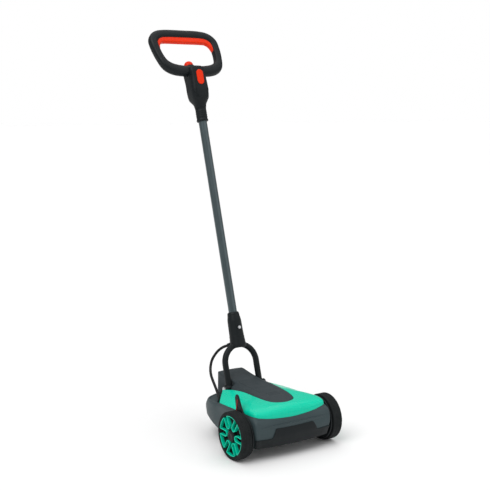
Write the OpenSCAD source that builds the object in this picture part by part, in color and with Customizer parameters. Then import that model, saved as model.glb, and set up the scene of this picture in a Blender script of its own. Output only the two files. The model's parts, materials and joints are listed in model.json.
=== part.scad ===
// Compact battery lawn mower with a swivelling stick handle.
// Front is -Y, the user stands at +Y, +Z is up and the plane X = 0 is the machine's middle.
// Inside placed() Y is counted from the front wheels' axle; placed() then puts the
// origin on the ground under the middle of the whole machine.

/* [Wheels] */
// Diameter of the front wheels
wheel_d = 130; // [128:0.5:130]
// Width of a front tyre
tyre_w = 31; // [29:0.5:31]
// Width over the outer faces of the front tyres
overall_w = 330; // [330:1:334]
// Diameter of the small rear wheels
rear_wheel_d = 40; // [38:1:41]

/* [Deck] */
// Wall thickness of the deck and its covers
wall = 3; // [2.4:0.2:3.2]
// Height of the deck's inner plate, where the motor stands
plate_z = 97; // [97:0.5:98]
// Diameter of the blade's circle
blade_d = 220; // [200:2:220]
// Height of the blade above the ground
blade_z = 42; // [41:0.5:43]

/* [Handle] */
// Lean of the handle tube back from vertical, degrees
lean = 17.1; // [16.5:0.1:17.5]
// Further lean of the grip loop beyond the tube, degrees
loop_tilt = 19.8; // [19.5:0.1:20.2]
// Outer diameter of the handle tube
tube_d = 25; // [25:0.1:25.2]
// Thickness of the grip loop, front to back
grip_t = 27; // [26:0.5:28]

/* [Travel] */
// How far the axle drops to raise the deck
height_travel = 12; // [10:1:12]

/* [Hidden] */
$fn = 64;

// Colours
grey = [0.30, 0.33, 0.34];
black = [0.10, 0.11, 0.12];
teal = [0.08, 0.80, 0.65];
orange = [1.0, 0.25, 0.08];
steel = [0.70, 0.71, 0.73];

// Front wheels
wheel_r = wheel_d / 2;
wheel_out_x = overall_w / 2;
wheel_in_x = wheel_out_x - tyre_w;
trim_r = 55;
rim_r = 52;
axle_r = 4;
bush_r = 7;
running = 0.05;

// Rear wheels
rear_y = 222;
rear_x = 36;
rear_r = rear_wheel_d / 2;
rear_axle_r = 3;

// Motor and blade
spin_y = 88;
shaft_r = 4;
motor_r = 32;
bearing_r = 11;

// Handle
pivot_y = 186;
pivot_z = 130;
pin_r = 5;
leg_x = 52.5;
leg_w = 16.5;
leg_t = 17;
arch_s = 69;
tube_r = tube_d / 2;
tube_from = 150;
tube_to = 872;
collar_from = 794;
collar_to = 834;
loop_s = 933.4;
loop_ahead = 3.5;
button_s = 925;
shell_wall = 4;
dome_r = 14;
dome_n = 16.5;
dome_base = 42;

// The whole machine's box along Y, from the bumper to the grip loop, sets the origin
loop_top = 173;
bumper_y = -69.07;
loop_lean = lean + loop_tilt;
loop_y = pivot_y - loop_ahead * cos(lean) + loop_s * sin(lean);
rear_most_y = loop_y + loop_top * sin(loop_lean) + grip_t / 2 * cos(loop_lean);
centre_y = (bumper_y + rear_most_y) / 2;

// Frames: on the ground, along the tube (origin at the pivot), along the grip loop
module placed() translate([0, -centre_y, 0]) children();
module on_shaft() placed() translate([0, pivot_y, pivot_z]) rotate([-lean, 0, 0]) children();
module on_loop() on_shaft() to_loop() children();
module both() {
  children();
  mirror([1, 0, 0]) children();
}

// ---- Curves and skins ----
function mix(a, b, t) = a * (1 - t) + b * t;
function clamp(v, lo, hi) = min(max(v, lo), hi);
function flip(p) = [-p[0], p[1], p[2]];
function backwards(v) = [for (i = [len(v) - 1:-1:0]) v[i]];

// One point of a Catmull-Rom curve through four neighbours
function bend(a, b, c, d, t) = 0.5 * (2 * b + (c - a) * t + (2 * a - 5 * b + 4 * c - d) * t * t
  + (3 * b - a - 3 * c + d) * t * t * t);

// A half outline starts and ends on X = 0; its curve continues as its own mirror image.
// The first and the last point are left out, so that no point lies on X = 0.
function half_curve(p, steps, open_end = false) = [
  for (i = [0:len(p) - 2])
    for (k = [0:steps - 1])
      if (i > 0 || k > 0)
        bend(
          i == 0 ? flip(p[1]) : p[i - 1], p[i], p[i + 1],
          i + 2 < len(p) ? p[i + 2] : open_end ? 2 * p[i + 1] - p[i] : flip(p[i]),
          k / steps
        )
];
function whole_ring(half) = concat(half, [for (p = backwards(half)) flip(p)]);

// Closed solid through rings of equal length; every ring is left-right symmetric, and its
// two ends are closed by strips from each point to its mirror image.
module skin(rings) {
  n = len(rings[0]);
  h = n / 2;
  last = (len(rings) - 1) * n;
  walls = [
    for (r = [0:len(rings) - 2])
      for (i = [0:n - 1])
        [r * n + i, (r + 1) * n + i, (r + 1) * n + (i + 1) % n, r * n + (i + 1) % n]
  ];
  first_cap = [for (i = [0:h - 2]) [i, i + 1, n - 2 - i, n - 1 - i]];
  last_cap = [for (i = [0:h - 2]) [last + n - 1 - i, last + n - 2 - i, last + i + 1, last + i]];
  points = [for (r = rings) for (p = r) p];
  polyhedron(points = points, faces = concat(first_cap, walls, last_cap), convexity = 8);
}

// Closed solid through open ribs: each rib is a closed section; the first and last are caps.
module ribbed(ribs) {
  n = len(ribs[0]);
  h = n / 2;
  last = (len(ribs) - 1) * n;
  walls = [
    for (r = [0:len(ribs) - 2])
      for (i = [0:n - 1])
        [r * n + i, (r + 1) * n + i, (r + 1) * n + (i + 1) % n, r * n + (i + 1) % n]
  ];
  first_cap = [for (i = [0:h - 2]) [i, i + 1, n - 2 - i, n - 1 - i]];
  last_cap = [for (i = [0:h - 2]) [last + n - 1 - i, last + n - 2 - i, last + i + 1, last + i]];
  points = [for (r = ribs) for (p = r) p];
  polyhedron(points = points, faces = concat(first_cap, walls, last_cap), convexity = 8);
}

module rounded_rect(w, h, r) {
  square([w - 2 * r, h], center = true);
  square([w, h - 2 * r], center = true);
  for (x = [-1, 1])
    for (y = [-1, 1])
      translate([x * (w / 2 - r), y * (h / 2 - r)]) circle(r = r);
}

// Cylinder along X from x0 to x1
module x_rod(x0, x1, r) translate([x0, 0, 0]) rotate([0, 90, 0]) cylinder(r = r, h = x1 - x0);

// ---- Deck outlines, right half, front middle to rear middle ----
steps = 3;
skirt_line = [
  [0, -65, 36], [60, -62, 36], [99, -57, 36], [117, -48, 36], [122, -10, 36], [122.5, 45, 36],
  [122.5, 95, 36], [122, 133, 40], [118, 185, 53], [99, 234, 61], [53, 259, 66], [0, 264, 67]
];
belt_line = [
  [0, -69, 70], [60, -68, 70], [106, -66, 71], [123, -59, 72], [125.5, -12, 72], [125, 45, 72],
  [125, 95, 72], [124, 133, 73], [120, 185, 76], [101, 235, 82], [54, 262, 85], [0, 267, 86]
];
cheek_line = [
  [0, -61, 95], [59, -60, 97], [103, -60, 101], [121.5, -56, 105], [125, -12, 106], [125, 45, 106],
  [124.5, 92, 104], [121.5, 133, 101], [117, 183, 96], [99, 232, 94], [53, 258, 94], [0, 263.5, 94]
];
rim_line = [
  [0, -57, 107], [58, -55, 110], [97, -50, 115], [115, -41, 119], [121.5, -6, 120], [122.5, 48, 119.5],
  [121, 95, 116.5], [117, 133, 112.5], [113, 180, 104], [97, 230, 99], [52, 257, 98], [0, 262, 98]
];
function shrunk(line, by) = [for (p = line) [p[0] * (1 - by / 122), mix(p[1], 100, by / 165), p[2]]];
function at_z(line, z) = [for (p = line) [p[0], p[1], z]];
function lifted(line, dz) = [for (p = line) [p[0], p[1], p[2] + dz]];
function deck_ring(line) = whole_ring(half_curve(line, steps));

module deck_shell() color(grey) placed() difference() {
  skin([
    deck_ring(at_z(shrunk(belt_line, wall), plate_z - wall)),
    deck_ring(shrunk(belt_line, wall)),
    deck_ring(shrunk(skirt_line, wall)),
    deck_ring(skirt_line),
    deck_ring(belt_line),
    deck_ring(cheek_line),
    deck_ring(rim_line),
    deck_ring(shrunk(rim_line, wall)),
    deck_ring(at_z(shrunk(rim_line, wall * 1.3), plate_z))
  ]);
  translate([0, spin_y, plate_z - 5]) cylinder(r = bearing_r, h = 10);
  both() translate([wheel_in_x - 20, -6.5, 44]) cube([20, 13, 36]);
  translate([-94, 170, plate_z - 5]) cylinder(r = 6, h = 10);
}

// The bumper follows the deck's front between the skirt and the belt, a little proud of it
bumper_gap = 0.7;
bumper_out = 3;
bumper_low = 0.02;
bumper_side = 0.72;
bumper_peak = 1.55;
function deck_level(h) = h < 1 ? [for (c = [0:11]) mix(skirt_line[c], belt_line[c], h)]
  : [for (c = [0:11]) mix(belt_line[c], cheek_line[c], h - 1)];
// It stands out less at its sides, where it passes inside the axle discs
function pushed(p, out) = p + out * [0.7 * clamp(p[0] / 110, 0, 1), clamp((p[0] - 140) / 60, -1, 0), 0];
function bumper_edge(h, out) = [for (p = half_curve(deck_level(h), steps)) pushed(p, out)];
function peak(x) = clamp((74 - abs(x)) / 14, 0, 1);
// A point at level h, along the line through the points p at the side, belt and peak levels
function climbed(p, h) = h < 1
  ? mix(p[0], p[1], (h - bumper_side) / (1 - bumper_side))
  : mix(p[1], p[2], (h - 1) / (bumper_peak - 1));
// Places of the ribs along the bumper, closer together where its upper edge steps down
bumper_at = [for (i = [0:3 * steps]) for (s = [0:(i == steps - 1 ? 7 : 0)]) i + s / 8];
function between(row, t) = mix(row[floor(t)], row[ceil(t)], t - floor(t));
function bumper_ribs() = let (
  low_in = bumper_edge(bumper_low, bumper_gap),
  low_out = bumper_edge(bumper_low, bumper_out),
  side_in = bumper_edge(bumper_side, bumper_gap),
  side_out = bumper_edge(bumper_side, bumper_out),
  belt_in = bumper_edge(1, bumper_gap),
  belt_out = bumper_edge(1, bumper_out),
  peak_in = bumper_edge(bumper_peak, bumper_gap),
  peak_out = bumper_edge(bumper_peak, bumper_out)
) [
  for (t = bumper_at) let (
    h = mix(bumper_side, bumper_peak, peak(between(side_out, t)[0])),
    back = [between(side_in, t), between(belt_in, t), between(peak_in, t)],
    face = [between(side_out, t), between(belt_out, t), between(peak_out, t)]
  ) [
    between(low_in, t),
    back[0],
    climbed(back, min(h, 1)) + [0, 0, 0.2],
    climbed(back, h) + [0, 0, 0.4],
    climbed(face, h) + [0, 0, 0.4],
    climbed(face, min(h, 1)) + [0, 0, 0.2],
    face[0],
    between(low_out, t)
  ]
];
module front_bumper() color(black) placed() {
  ribs = bumper_ribs();
  left = [for (rib = backwards(ribs)) [for (p = rib) flip(p)]];
  ribbed(concat(left, ribs));
}

// Teal cover: a horseshoe over the deck's shoulders, from the rim up to the lid's edge
cover_rim = [for (i = [0:7]) rim_line[i]];
cover_top = [
  [0, -25.5, 139.5], [30, -15, 139.5], [44, 9, 140], [51.5, 45, 141.5], [54.5, 80, 142], [57, 112, 141],
  [66, 148, 138], [75, 184, 131]
];
rise = 7;
cover_steps = 4;
// The cover is full at its front corners and slopes almost straight beside the lid
function fullness(y) = 0.3 + 0.7 * clamp((35 - y) / 60, 0, 1);
function shoulder(o, i, k) = let (
  a = 90 * k / rise,
  f = fullness(o[1]),
  out = mix(k / rise, 1 - cos(a), f),
  up = mix(k / rise, pow(sin(a), 0.6), f)
) [mix(o[0], i[0], out), mix(o[1], i[1], out), mix(o[2], i[2], up)];
function inward(p, d) = [p[0] - d * sign(p[0]) * min(1, abs(p[0]) / 60), p[1] < 0 ? p[1] + d : p[1], p[2]];
// At its two rear ends the cover turns down to the deck's plate and closes the space below it
foot_z = plate_z + 0.6;
foot_x = 81.5;
foot_spread = 0.6;
foot_wall = 0.43;
function footed(p, foot) = foot ? [foot_x + foot_spread * (p[0] - cover_top[7][0]), p[1], foot_z] : p;
function cover_rib(o, i, foot) = concat(
  [for (k = [0:rise]) shoulder(o + [0, 0, 0.4], i, k)],
  [for (k = [rise:-1:0]) footed(shoulder(inward(o, wall) + [0, 0, 0.4], i - [0, 0, wall], k), foot && k > 1)]
);
module shoulder_cover() color(teal) placed() {
  rims = half_curve(cover_rim, cover_steps, true);
  tops = half_curve(cover_top, cover_steps, true);
  count = len(rims);
  last = count - 1;
  places = concat([for (i = [0:last - 1]) i], [last - 0.5, last - foot_wall, last]);
  ribs = [for (t = places) cover_rib(between(rims, t), between(tops, t), t >= last - foot_wall)];
  left = [for (rib = backwards(ribs)) [for (p = rib) flip(p)]];
  ribbed(concat(left, ribs));
}

// Lid: a tongue inside the horseshoe that rises into the battery hump at the rear.
// Four lines from its lower edge to its crest, right half, front middle to rear middle.
lid_edge = [
  [0, -24.5, 136], [29, -14.3, 136], [43, 9, 136.5], [50.5, 45, 138], [53.5, 80, 138.5], [56, 112, 137.5],
  [63, 145, 134], [62, 162, 122], [56, 170, 98.5], [42.5, 173, 98.5], [43, 220, 98.5], [44, 262, 98.5],
  [34, 268.5, 98.5], [0, 269, 98.5]
];
lid_shoulder = [
  [0, -24, 139.4], [28.6, -13.8, 139.5], [42.5, 9, 140], [50, 45, 141.4], [53, 80, 142], [55.5, 112, 141],
  [61.5, 145, 138.5], [60.5, 161, 137], [55, 169, 136], [42.5, 173, 138], [42.5, 220, 140], [43, 262, 142],
  [34, 268.3, 143], [0, 268.8, 143]
];
lid_upper = [
  [0, -19, 140.7], [26, -10, 141], [38.5, 11, 142], [45, 45, 144.2], [47, 80, 146], [48, 112, 146.4],
  [50, 145, 145.6], [49, 160, 145.4], [46, 168, 146], [42.3, 173.5, 149], [42.3, 220, 153.5],
  [42.5, 262, 158],
  [34, 267.5, 158.5], [0, 268.3, 159]
];
lid_crest = [
  [0, -12, 141.3], [21, -5, 141.7], [30, 14, 143.2], [35, 45, 146], [36, 80, 148.4], [37, 112, 149.3],
  [38.5, 145, 150], [39, 162, 151], [39, 170, 152], [39, 176, 152.6], [39, 220, 156], [39, 258, 160],
  [32, 264, 160.7], [0, 265, 161]
];
module top_lid() color(grey) placed() difference() {
  skin([
    deck_ring(lifted(shrunk(lid_crest, wall), -wall)),
    deck_ring(lifted(shrunk(lid_upper, 2 * wall), -wall)),
    deck_ring(lifted(shrunk(lid_shoulder, 2 * wall), -wall)),
    deck_ring(shrunk(lid_edge, 2 * wall)),
    deck_ring(lid_edge),
    deck_ring(lid_shoulder),
    deck_ring(lid_upper),
    deck_ring(lid_crest)
  ]);
  translate([-38.6, 250, plate_z]) cube([77.2, 25, 48]);
}

// ---- Inside the deck ----
module motor() color(steel) placed() difference() {
  translate([0, spin_y, plate_z + 0.2]) union() {
    cylinder(r = motor_r, h = 34);
    translate([0, 0, 34]) cylinder(r = motor_r - 10, h = 6);
    linear_extrude(4) rounded_rect(86, 40, 6);
  }
  translate([0, spin_y, plate_z - 1]) cylinder(r = shaft_r + running, h = 50);
  for (x = [-37, 37]) translate([x, spin_y, plate_z - 1]) cylinder(r = 2, h = 10);
}
module motor_screws() color(steel) placed() for (x = [-37, 37]) translate([x, spin_y, plate_z]) {
  cylinder(r = 1.98, h = 4.2);
  translate([0, 0, 4.2]) cylinder(r = 3.6, h = 3);
}
module shaft_bearing() color(steel) placed() translate([0, spin_y, plate_z - 7]) difference() {
  cylinder(r = bearing_r, h = 7);
  translate([0, 0, -1]) cylinder(r = shaft_r + running, h = 9);
}
module controller_board() color([0.05, 0.35, 0.2]) placed() translate([-24, 2, plate_z + 4]) {
  cube([48, 44, 1.6]);
  for (x = [4, 18, 32]) translate([x, 6, 1.6]) cube([10, 14, 8]);
  translate([8, 30, 1.6]) cylinder(r = 5, h = 14);
  translate([30, 30, 1.6]) cylinder(r = 5, h = 14);
  for (x = [3, 45]) for (y = [3, 41]) translate([x, y, -4]) cylinder(r = 2.5, h = 4);
}
module battery_dock() color(black) placed() difference() {
  translate([-36, 157, plate_z]) cube([72, 9, 40]);
  for (x = [-20, 0, 20]) translate([x - 3, 163, plate_z + 14]) cube([6, 4, 14]);
}

// ---- Handle pivot ----
bracket_x = 61.2;
bracket_t = 6.8;
module pivot_bracket() placed() difference() {
  translate([bracket_x, 0, 0]) union() {
    translate([0, pivot_y, pivot_z]) x_rod(0, bracket_t, 12);
    translate([0, pivot_y - 12, plate_z]) cube([bracket_t, 24, pivot_z - plate_z]);
    translate([0, pivot_y - 12, plate_z]) cube([18, 24, 4]);
  }
  translate([bracket_x - 1, pivot_y, pivot_z]) x_rod(0, bracket_t + 2, pin_r);
}
module pivot_bracket_left() color(black) mirror([1, 0, 0]) pivot_bracket();
module pivot_bracket_right() color(black) pivot_bracket();
module pivot_pins() color(steel) placed() translate([0, pivot_y, pivot_z]) both() {
  x_rod(45.5, bracket_x + bracket_t, pin_r);
  x_rod(bracket_x + bracket_t, bracket_x + bracket_t + 3, 7.5);
}
module deck_gland() color(black) placed() translate([-94, 170, plate_z - 5]) difference() {
  union() {
    cylinder(r = 6, h = 5);
    translate([0, 0, 5]) cylinder(r1 = 9, r2 = 7, h = 8);
  }
  translate([0, 0, -1]) cylinder(r = 4.8, h = 20);
}

// ---- Axle unit, which slides up and down in the deck ----
axle_z = wheel_r;
guide_x = 108;
guide_t = 8;
block_h = 12;
module axle_guides() color(black) placed() both() difference() {
  translate([guide_x, -16, axle_z - height_travel - 12])
    cube([guide_t, 32, plate_z - wall - axle_z + height_travel + 12]);
  translate([guide_x - 1, -6.1, axle_z - height_travel - 6.2])
    cube([guide_t + 2, 12.2, height_travel + 14]);
}
module front_axle() color(steel) placed() translate([0, 0, axle_z])
  x_rod(-wheel_out_x + 6, wheel_out_x - 6, axle_r);
module axle_blocks() color(black) placed() both() translate([guide_x - 2, 0, axle_z]) difference() {
  translate([0, -6, -6]) cube([guide_t + 4, 12, block_h]);
  x_rod(-1, guide_t + 6, axle_r);
}
disc_x = 126.2;
disc_t = 5.8;
module arch_disc_right() color(black) placed() translate([disc_x, 0, axle_z]) difference() {
  union() {
    x_rod(0, disc_t, 61);
    x_rod(-4, 1, 6);
  }
  x_rod(-6, disc_t + 2, axle_r);
}

// Height lever: a disc about the axle with a thumb arm that leans back
arm_tip = [21, 96];
arm_r = 8.5;
module lever_plane(x) translate([x, 0, 0]) rotate([90, 0, 90]) children();
module height_lever() color(black) placed() translate([-disc_x - disc_t, 0, axle_z]) difference() {
  union() {
    x_rod(0, disc_t, 61);
    x_rod(disc_t - 1, disc_t + 4, 6);
    lever_plane(0) linear_extrude(disc_t) {
      polygon([[-14, 54], [20, 54], [29.4, 94], [arm_tip[0], 103], [13.4, 99.6]]);
      translate(arm_tip) circle(r = arm_r);
    }
  }
  x_rod(-1, disc_t + 6, axle_r + running);
}
module lever_insert() color([0.75, 0.12, 0.08]) placed() translate([-disc_x - disc_t - 1, 0, axle_z])
  lever_plane(0) linear_extrude(1) translate([15, 90]) rotate(10) {
    translate([-2.5, -28]) square([5, 28]);
    for (z = [-28, 0]) translate([0, z]) circle(r = 2.5);
  }

// ---- Front wheels, built at the right-hand end, outer face towards +X ----
module wheel_frame() placed() translate([wheel_in_x, 0, axle_z]) rotate([0, 90, 0]) children();
module left_hand() mirror([1, 0, 0]) children();
module tyre() color(black) wheel_frame() rotate_extrude($fn = 96) polygon([
  [rim_r, 1], [rim_r + 6, 0], [wheel_r - 2.5, 1.2], [wheel_r - 0.5, 4], [wheel_r, 9], [wheel_r, tyre_w - 9],
  [wheel_r - 0.5, tyre_w - 4], [wheel_r - 2.5, tyre_w - 1.2], [wheel_r - 7, tyre_w], [trim_r, tyre_w - 0.6],
  [trim_r, tyre_w - 11], [rim_r, tyre_w - 11]
]);
module rim() color(black) wheel_frame() difference() {
  union() {
    difference() {
      translate([0, 0, 2]) cylinder(r = rim_r, h = 17.5);
      translate([0, 0, -1]) cylinder(r = rim_r - 5, h = tyre_w);
    }
    translate([0, 0, 2]) cylinder(r = bush_r + 9, h = tyre_w - 8);
    for (a = [0:60:300]) rotate([0, 0, a]) translate([0, -5, 12]) cube([rim_r - 3, 10, 6.5]);
    translate([0, 0, 8]) cylinder(r = rim_r - 3, h = 5);
  }
  translate([0, 0, -1]) cylinder(r = bush_r, h = tyre_w + 2);
}
// The trim is one deep band: it follows the tyre's edge and dips round six slots towards the hub
band_t = 2.6;
band_h = 10;
slot_r = 6.4;
slot_from = 28;
module slots(r) for (a = [0:60:300]) rotate([0, 0, a]) {
  translate([slot_from, 0]) circle(r = r);
  translate([slot_from, -r]) square([40, 2 * r]);
}
module trim_ring() color(teal) wheel_frame() translate([0, 0, tyre_w - 0.8 - band_h]) linear_extrude(band_h)
  rotate(30) difference() {
    difference() {
      circle(r = trim_r - 0.3);
      slots(slot_r);
    }
    difference() {
      circle(r = trim_r - 0.3 - band_t);
      slots(slot_r + band_t);
    }
  }
module bush() color(steel) wheel_frame() translate([0, 0, 2]) difference() {
  cylinder(r = bush_r, h = tyre_w - 8.2);
  translate([0, 0, -1]) cylinder(r = axle_r + running, h = tyre_w);
}
module hub_cap() color(black) wheel_frame() translate([0, 0, tyre_w - 5.8]) rotate_extrude() polygon([
  [0, 0], [15.5, 0], [15.5, 3], [13.5, 4.4], [9, 5.4], [0, 5.6]
]);
module tyre_left() left_hand() tyre();
module rim_left() left_hand() rim();
module trim_left() left_hand() trim_ring();
module hub_cap_left() left_hand() hub_cap();
module bush_left() left_hand() bush();
module tyre_right() tyre();
module rim_right() rim();
module trim_right() trim_ring();
module hub_cap_right() hub_cap();
module bush_right() bush();

// ---- Rear wheels ----
module rear_carrier() color(black) placed() both() difference() {
  translate([20, rear_y, 0]) rotate([90, 0, 90]) linear_extrude(6) union() {
    translate([0, rear_r]) circle(r = 8);
    polygon([[-7.5, rear_r], [7.5, rear_r], [13, plate_z - wall], [-13, plate_z - wall]]);
  }
  translate([19, rear_y, rear_r]) x_rod(0, 8, rear_axle_r);
}
module rear_axle() color(steel) placed() translate([0, rear_y, rear_r]) x_rod(-46, 46, rear_axle_r);
module rear_wheel() color(black) placed() translate([rear_x - 7, rear_y, rear_r])
  rotate([0, 90, 0]) difference() {
  rotate_extrude() polygon([
    [0, 0], [rear_r - 2, 0], [rear_r, 2.5], [rear_r, 11.5], [rear_r - 2, 14], [rear_r - 5, 14],
    [rear_r - 6, 12], [8, 12], [7, 14], [0, 14]
  ]);
  translate([0, 0, -1]) cylinder(r = rear_axle_r + running, h = 16);
}
module rear_wheel_left() left_hand() rear_wheel();
module rear_wheel_right() rear_wheel();

// ---- Rotor ----
blade_t = 2.5;
module motor_shaft() color(steel) placed() translate([0, spin_y, blade_z - 2])
  cylinder(r = shaft_r, h = 92);
module blade_carrier() color(black) placed() translate([0, spin_y, blade_z + blade_t]) difference() {
  union() {
    cylinder(r = 17, h = 4);
    cylinder(r = 11, h = 22);
    for (a = [0:45:315]) rotate([0, 0, a]) translate([10, -1, 2]) cube([14, 2, 14]);
    difference() {
      cylinder(r = 25, h = 3);
      translate([0, 0, -1]) cylinder(r = 16, h = 5);
    }
  }
  translate([0, 0, -1]) cylinder(r = shaft_r, h = 30);
}
module blade() color(steel) placed() translate([0, spin_y, blade_z]) difference() {
  linear_extrude(blade_t) intersection() {
    circle(r = blade_d / 2);
    square([blade_d, 34], center = true);
  }
  translate([0, 0, -1]) cylinder(r = shaft_r, h = 5);
  for (side = [-1, 1]) translate([side * 60, 0, -1]) cylinder(r = 5, h = 5);
}
module blade_bolt() color(steel) placed() translate([0, spin_y, blade_z]) difference() {
  union() {
    translate([0, 0, -2]) cylinder(r = 11, h = 2);
    translate([0, 0, -8]) cylinder(r = 6.5, h = 6, $fn = 6);
  }
  translate([0, 0, -2.01]) cylinder(r = shaft_r, h = 3);
}

// ---- Battery ----
pack_y = 167;
pack_l = 101.5;
pack_z = plate_z + 1.5;
module battery_case() color(grey) placed() difference() {
  translate([-38, pack_y, pack_z]) cube([76, pack_l, 45]);
  translate([-35, pack_y + 3, pack_z + 3]) cube([70, pack_l - 10, 30]);
  translate([-12, pack_y + pack_l - 8, pack_z + 31]) cube([24, 10, 11]);
}
module battery_cells() color([0.25, 0.45, 0.75]) placed() for (i = [0:4])
  translate([0, pack_y + 3 + 9.4 + i * 18, pack_z + 3 + 12]) x_rod(-32.5, 32.5, 8.9);
module battery_latch() color(orange) placed()
  translate([-11, pack_y + pack_l - 4, pack_z + 32]) cube([22, 5.5, 9]);
module latch_spring() color(steel) placed() translate([0, pack_y + pack_l - 4, pack_z + 36.5])
  rotate([90, 0, 0])
  difference() {
    cylinder(r = 3, h = 3.9);
    translate([0, 0, -1]) cylinder(r = 2.2, h = 6);
  }

// ---- Handle ----
// The cable leaves the fork's crown back and to the left
exit_s = 123;
exit_turn = 35;
module cable_exit() translate([0, 0, exit_s]) rotate([-90, 0, exit_turn]) children();
module fork() color(black) on_shaft() difference() {
  union() {
    translate([0, 0, arch_s]) rotate([90, 0, 0]) rotate_extrude(angle = 180) translate([leg_x, 0])
      rounded_rect(leg_w, leg_t, 5);
    both() translate([leg_x, 0, 0]) linear_extrude(arch_s) rounded_rect(leg_w, leg_t, 5);
    both() x_rod(leg_x - leg_w / 2, leg_x + leg_w / 2, 11);
    translate([0, 0, 116]) cylinder(r1 = 24, r2 = 21.5, h = 30);
    translate([0, 0, 146]) cylinder(r1 = 21.5, r2 = 20.4, h = 46);
    translate([0, 0, 192]) cylinder(r1 = 20.4, r2 = 16.5, h = 25);
  }
  translate([0, 0, tube_from]) cylinder(r = tube_r, h = 80);
  translate([0, 0, exit_s - 7]) cylinder(r = 6.5, h = 40);
  cable_exit() cylinder(r = 5, h = 40);
  both() x_rod(leg_x - leg_w, leg_x + leg_w, pin_r + running);
  translate([0, -30, 170]) rotate([-90, 0, 0]) cylinder(r = 2.5, h = 60);
}
module fork_screw() color(steel) on_shaft() translate([0, 0, 170]) rotate([90, 0, 0]) {
  translate([0, 0, -20]) cylinder(r = 2.45, h = 41.4);
  translate([0, 0, 21.4]) cylinder(r = 4.5, h = 3);
}
module handle_tube() color([0.28, 0.32, 0.34]) on_shaft() difference() {
  translate([0, 0, tube_from]) cylinder(r = tube_r, h = tube_to - tube_from);
  translate([0, 0, tube_from - 1]) cylinder(r = tube_r - 2, h = tube_to - tube_from + 2);
  translate([0, -30, 170]) rotate([-90, 0, 0]) cylinder(r = 2.5, h = 60);
}
module inner_lead() color(black) on_shaft() translate([0, 5, 186]) cylinder(r = 3, h = 694, $fn = 16);
module cable_relief() color(black) on_shaft() cable_exit() difference() {
  union() {
    translate([0, 0, 8]) cylinder(r = 4.95, h = 17);
    translate([0, 0, 24.8]) cylinder(r1 = 7.5, r2 = 5.8, h = 9);
  }
  translate([0, 0, 7]) cylinder(r = 4.5, h = 40);
}
module upper_collar() color(black) on_shaft() difference() {
  translate([0, 0, collar_from]) rotate_extrude() polygon([
    [0, 0], [15.5, 0], [17.5, 2], [17.5, 5], [16, 7], [16.6, collar_to - collar_from],
    [0, collar_to - collar_from]
  ]);
  translate([0, 0, collar_from - 1]) cylinder(r = tube_r, h = 60);
}

// Stem: sections up the tube as [height, half width, half depth, squareness, set back]
stem_sections = [
  [834, 17, 17, 2, 0], [846, 19, 18.5, 2.2, 0], [856, 23.5, 23, 2.8, 0.5], [866, 27, 27, 3.4, 1],
  [888, 28, 29.3, 3.8, 1.3], [912, 27, 30, 3.8, 2.5], [930, 26.3, 31.5, 3.8, 5]
];
stem_points = 36;
stem_top_v = 24;
slab_clear = 36.3;
function squircle(w, d, n, a) = [
  w * sign(cos(a)) * pow(abs(cos(a)), 2 / n),
  d * sign(sin(a)) * pow(abs(sin(a)), 2 / n)
];
// Each ring starts beside the front middle and is symmetric about X = 0
function stem_ring(w, d, n) = [
  for (i = [0:stem_points - 1]) squircle(w, d, n, -90 + (i + 0.5) * 360 / stem_points)
];
function stem_top(v) = [
  for (p = stem_ring(26, 31.5, 3.8)) let (a = loop_tilt, n = p[1] + 6.5)
    [p[0], n * cos(a) + v * sin(a) - loop_ahead, loop_s - n * sin(a) + v * cos(a)]
];
module to_loop() translate([0, -loop_ahead, loop_s]) rotate([-loop_tilt, 0, 0]) children();
module stem_housing() color(black) on_shaft() difference() {
  union() {
    skin(concat(
      [for (s = stem_sections) [for (p = stem_ring(s[1], s[2], s[3])) [p[0], p[1] + s[4], s[0]]]],
      [stem_top(stem_top_v)]
    ));
    to_loop() translate([0, dome_n, -4]) cylinder(r = dome_r + 2.5, h = dome_base + 6);
  }
  translate([0, 0, 820]) cylinder(r = tube_r, h = tube_to - 820);
  translate([0, 0, tube_to - 1]) cylinder(r = 8.5, h = 46);
  to_loop() {
    translate([-60, -grip_t / 2, -1.5]) cube([120, grip_t, slab_clear + 1.5]);
    translate([0, dome_n, slab_clear + 0.3]) cylinder(r = dome_r + 0.4, h = 40);
    translate([0, dome_n + 7.5, 18]) cylinder(r = 4, h = 40);
  }
  translate([0, -12.5, button_s]) rotate([90, 0, 0]) linear_extrude(40) stadium(11.4, 46.8);
}
module stadium(r, l) {
  square([2 * r, l - 2 * r], center = true);
  for (side = [-1, 1]) translate([0, side * (l / 2 - r)]) circle(r = r);
}

// Grip loop: matching points on its outer edge and its inner edge, right half, bottom to top
loop_outer = [
  [0, 4, 0], [48, 4, 0], [80, 12, 0], [101, 31, 0], [112, 66, 0], [117.5, 106, 0], [115.5, 139, 0],
  [96, 162.5, 0], [62, 172, 0], [0, 173, 0]
];
loop_inner = [
  [0, 36, 0], [34, 36, 0], [66, 43, 0], [83, 57, 0], [90, 80, 0], [92, 106, 0], [90, 126, 0],
  [76, 138.5, 0], [50, 142, 0], [0, 142.5, 0]
];
loop_steps = 5;
function loop_line(at_low, at_high) = [
  for (i = [0:9]) mix(loop_outer[i], loop_inner[i], i < 5 ? at_low : at_high)
];
function flat(ring) = [for (p = ring) [p[0], p[1]]];
function loop_ring(line) = flat(whole_ring(half_curve(line, loop_steps)));
module loop_face(outer_low, outer_high, inner_low, inner_high) difference() {
  polygon(loop_ring(loop_line(outer_low, outer_high)));
  polygon(loop_ring(loop_line(inner_low, inner_high)));
}
// Slab in the loop's plane, from depth y0 to y1
module loop_slab(y0, y1) translate([0, y1, 0]) rotate([90, 0, 0]) linear_extrude(y1 - y0) children();
screw_spots = [[94, 46], [105, 126], [68, 25]];
grip_core = 8;
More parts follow.
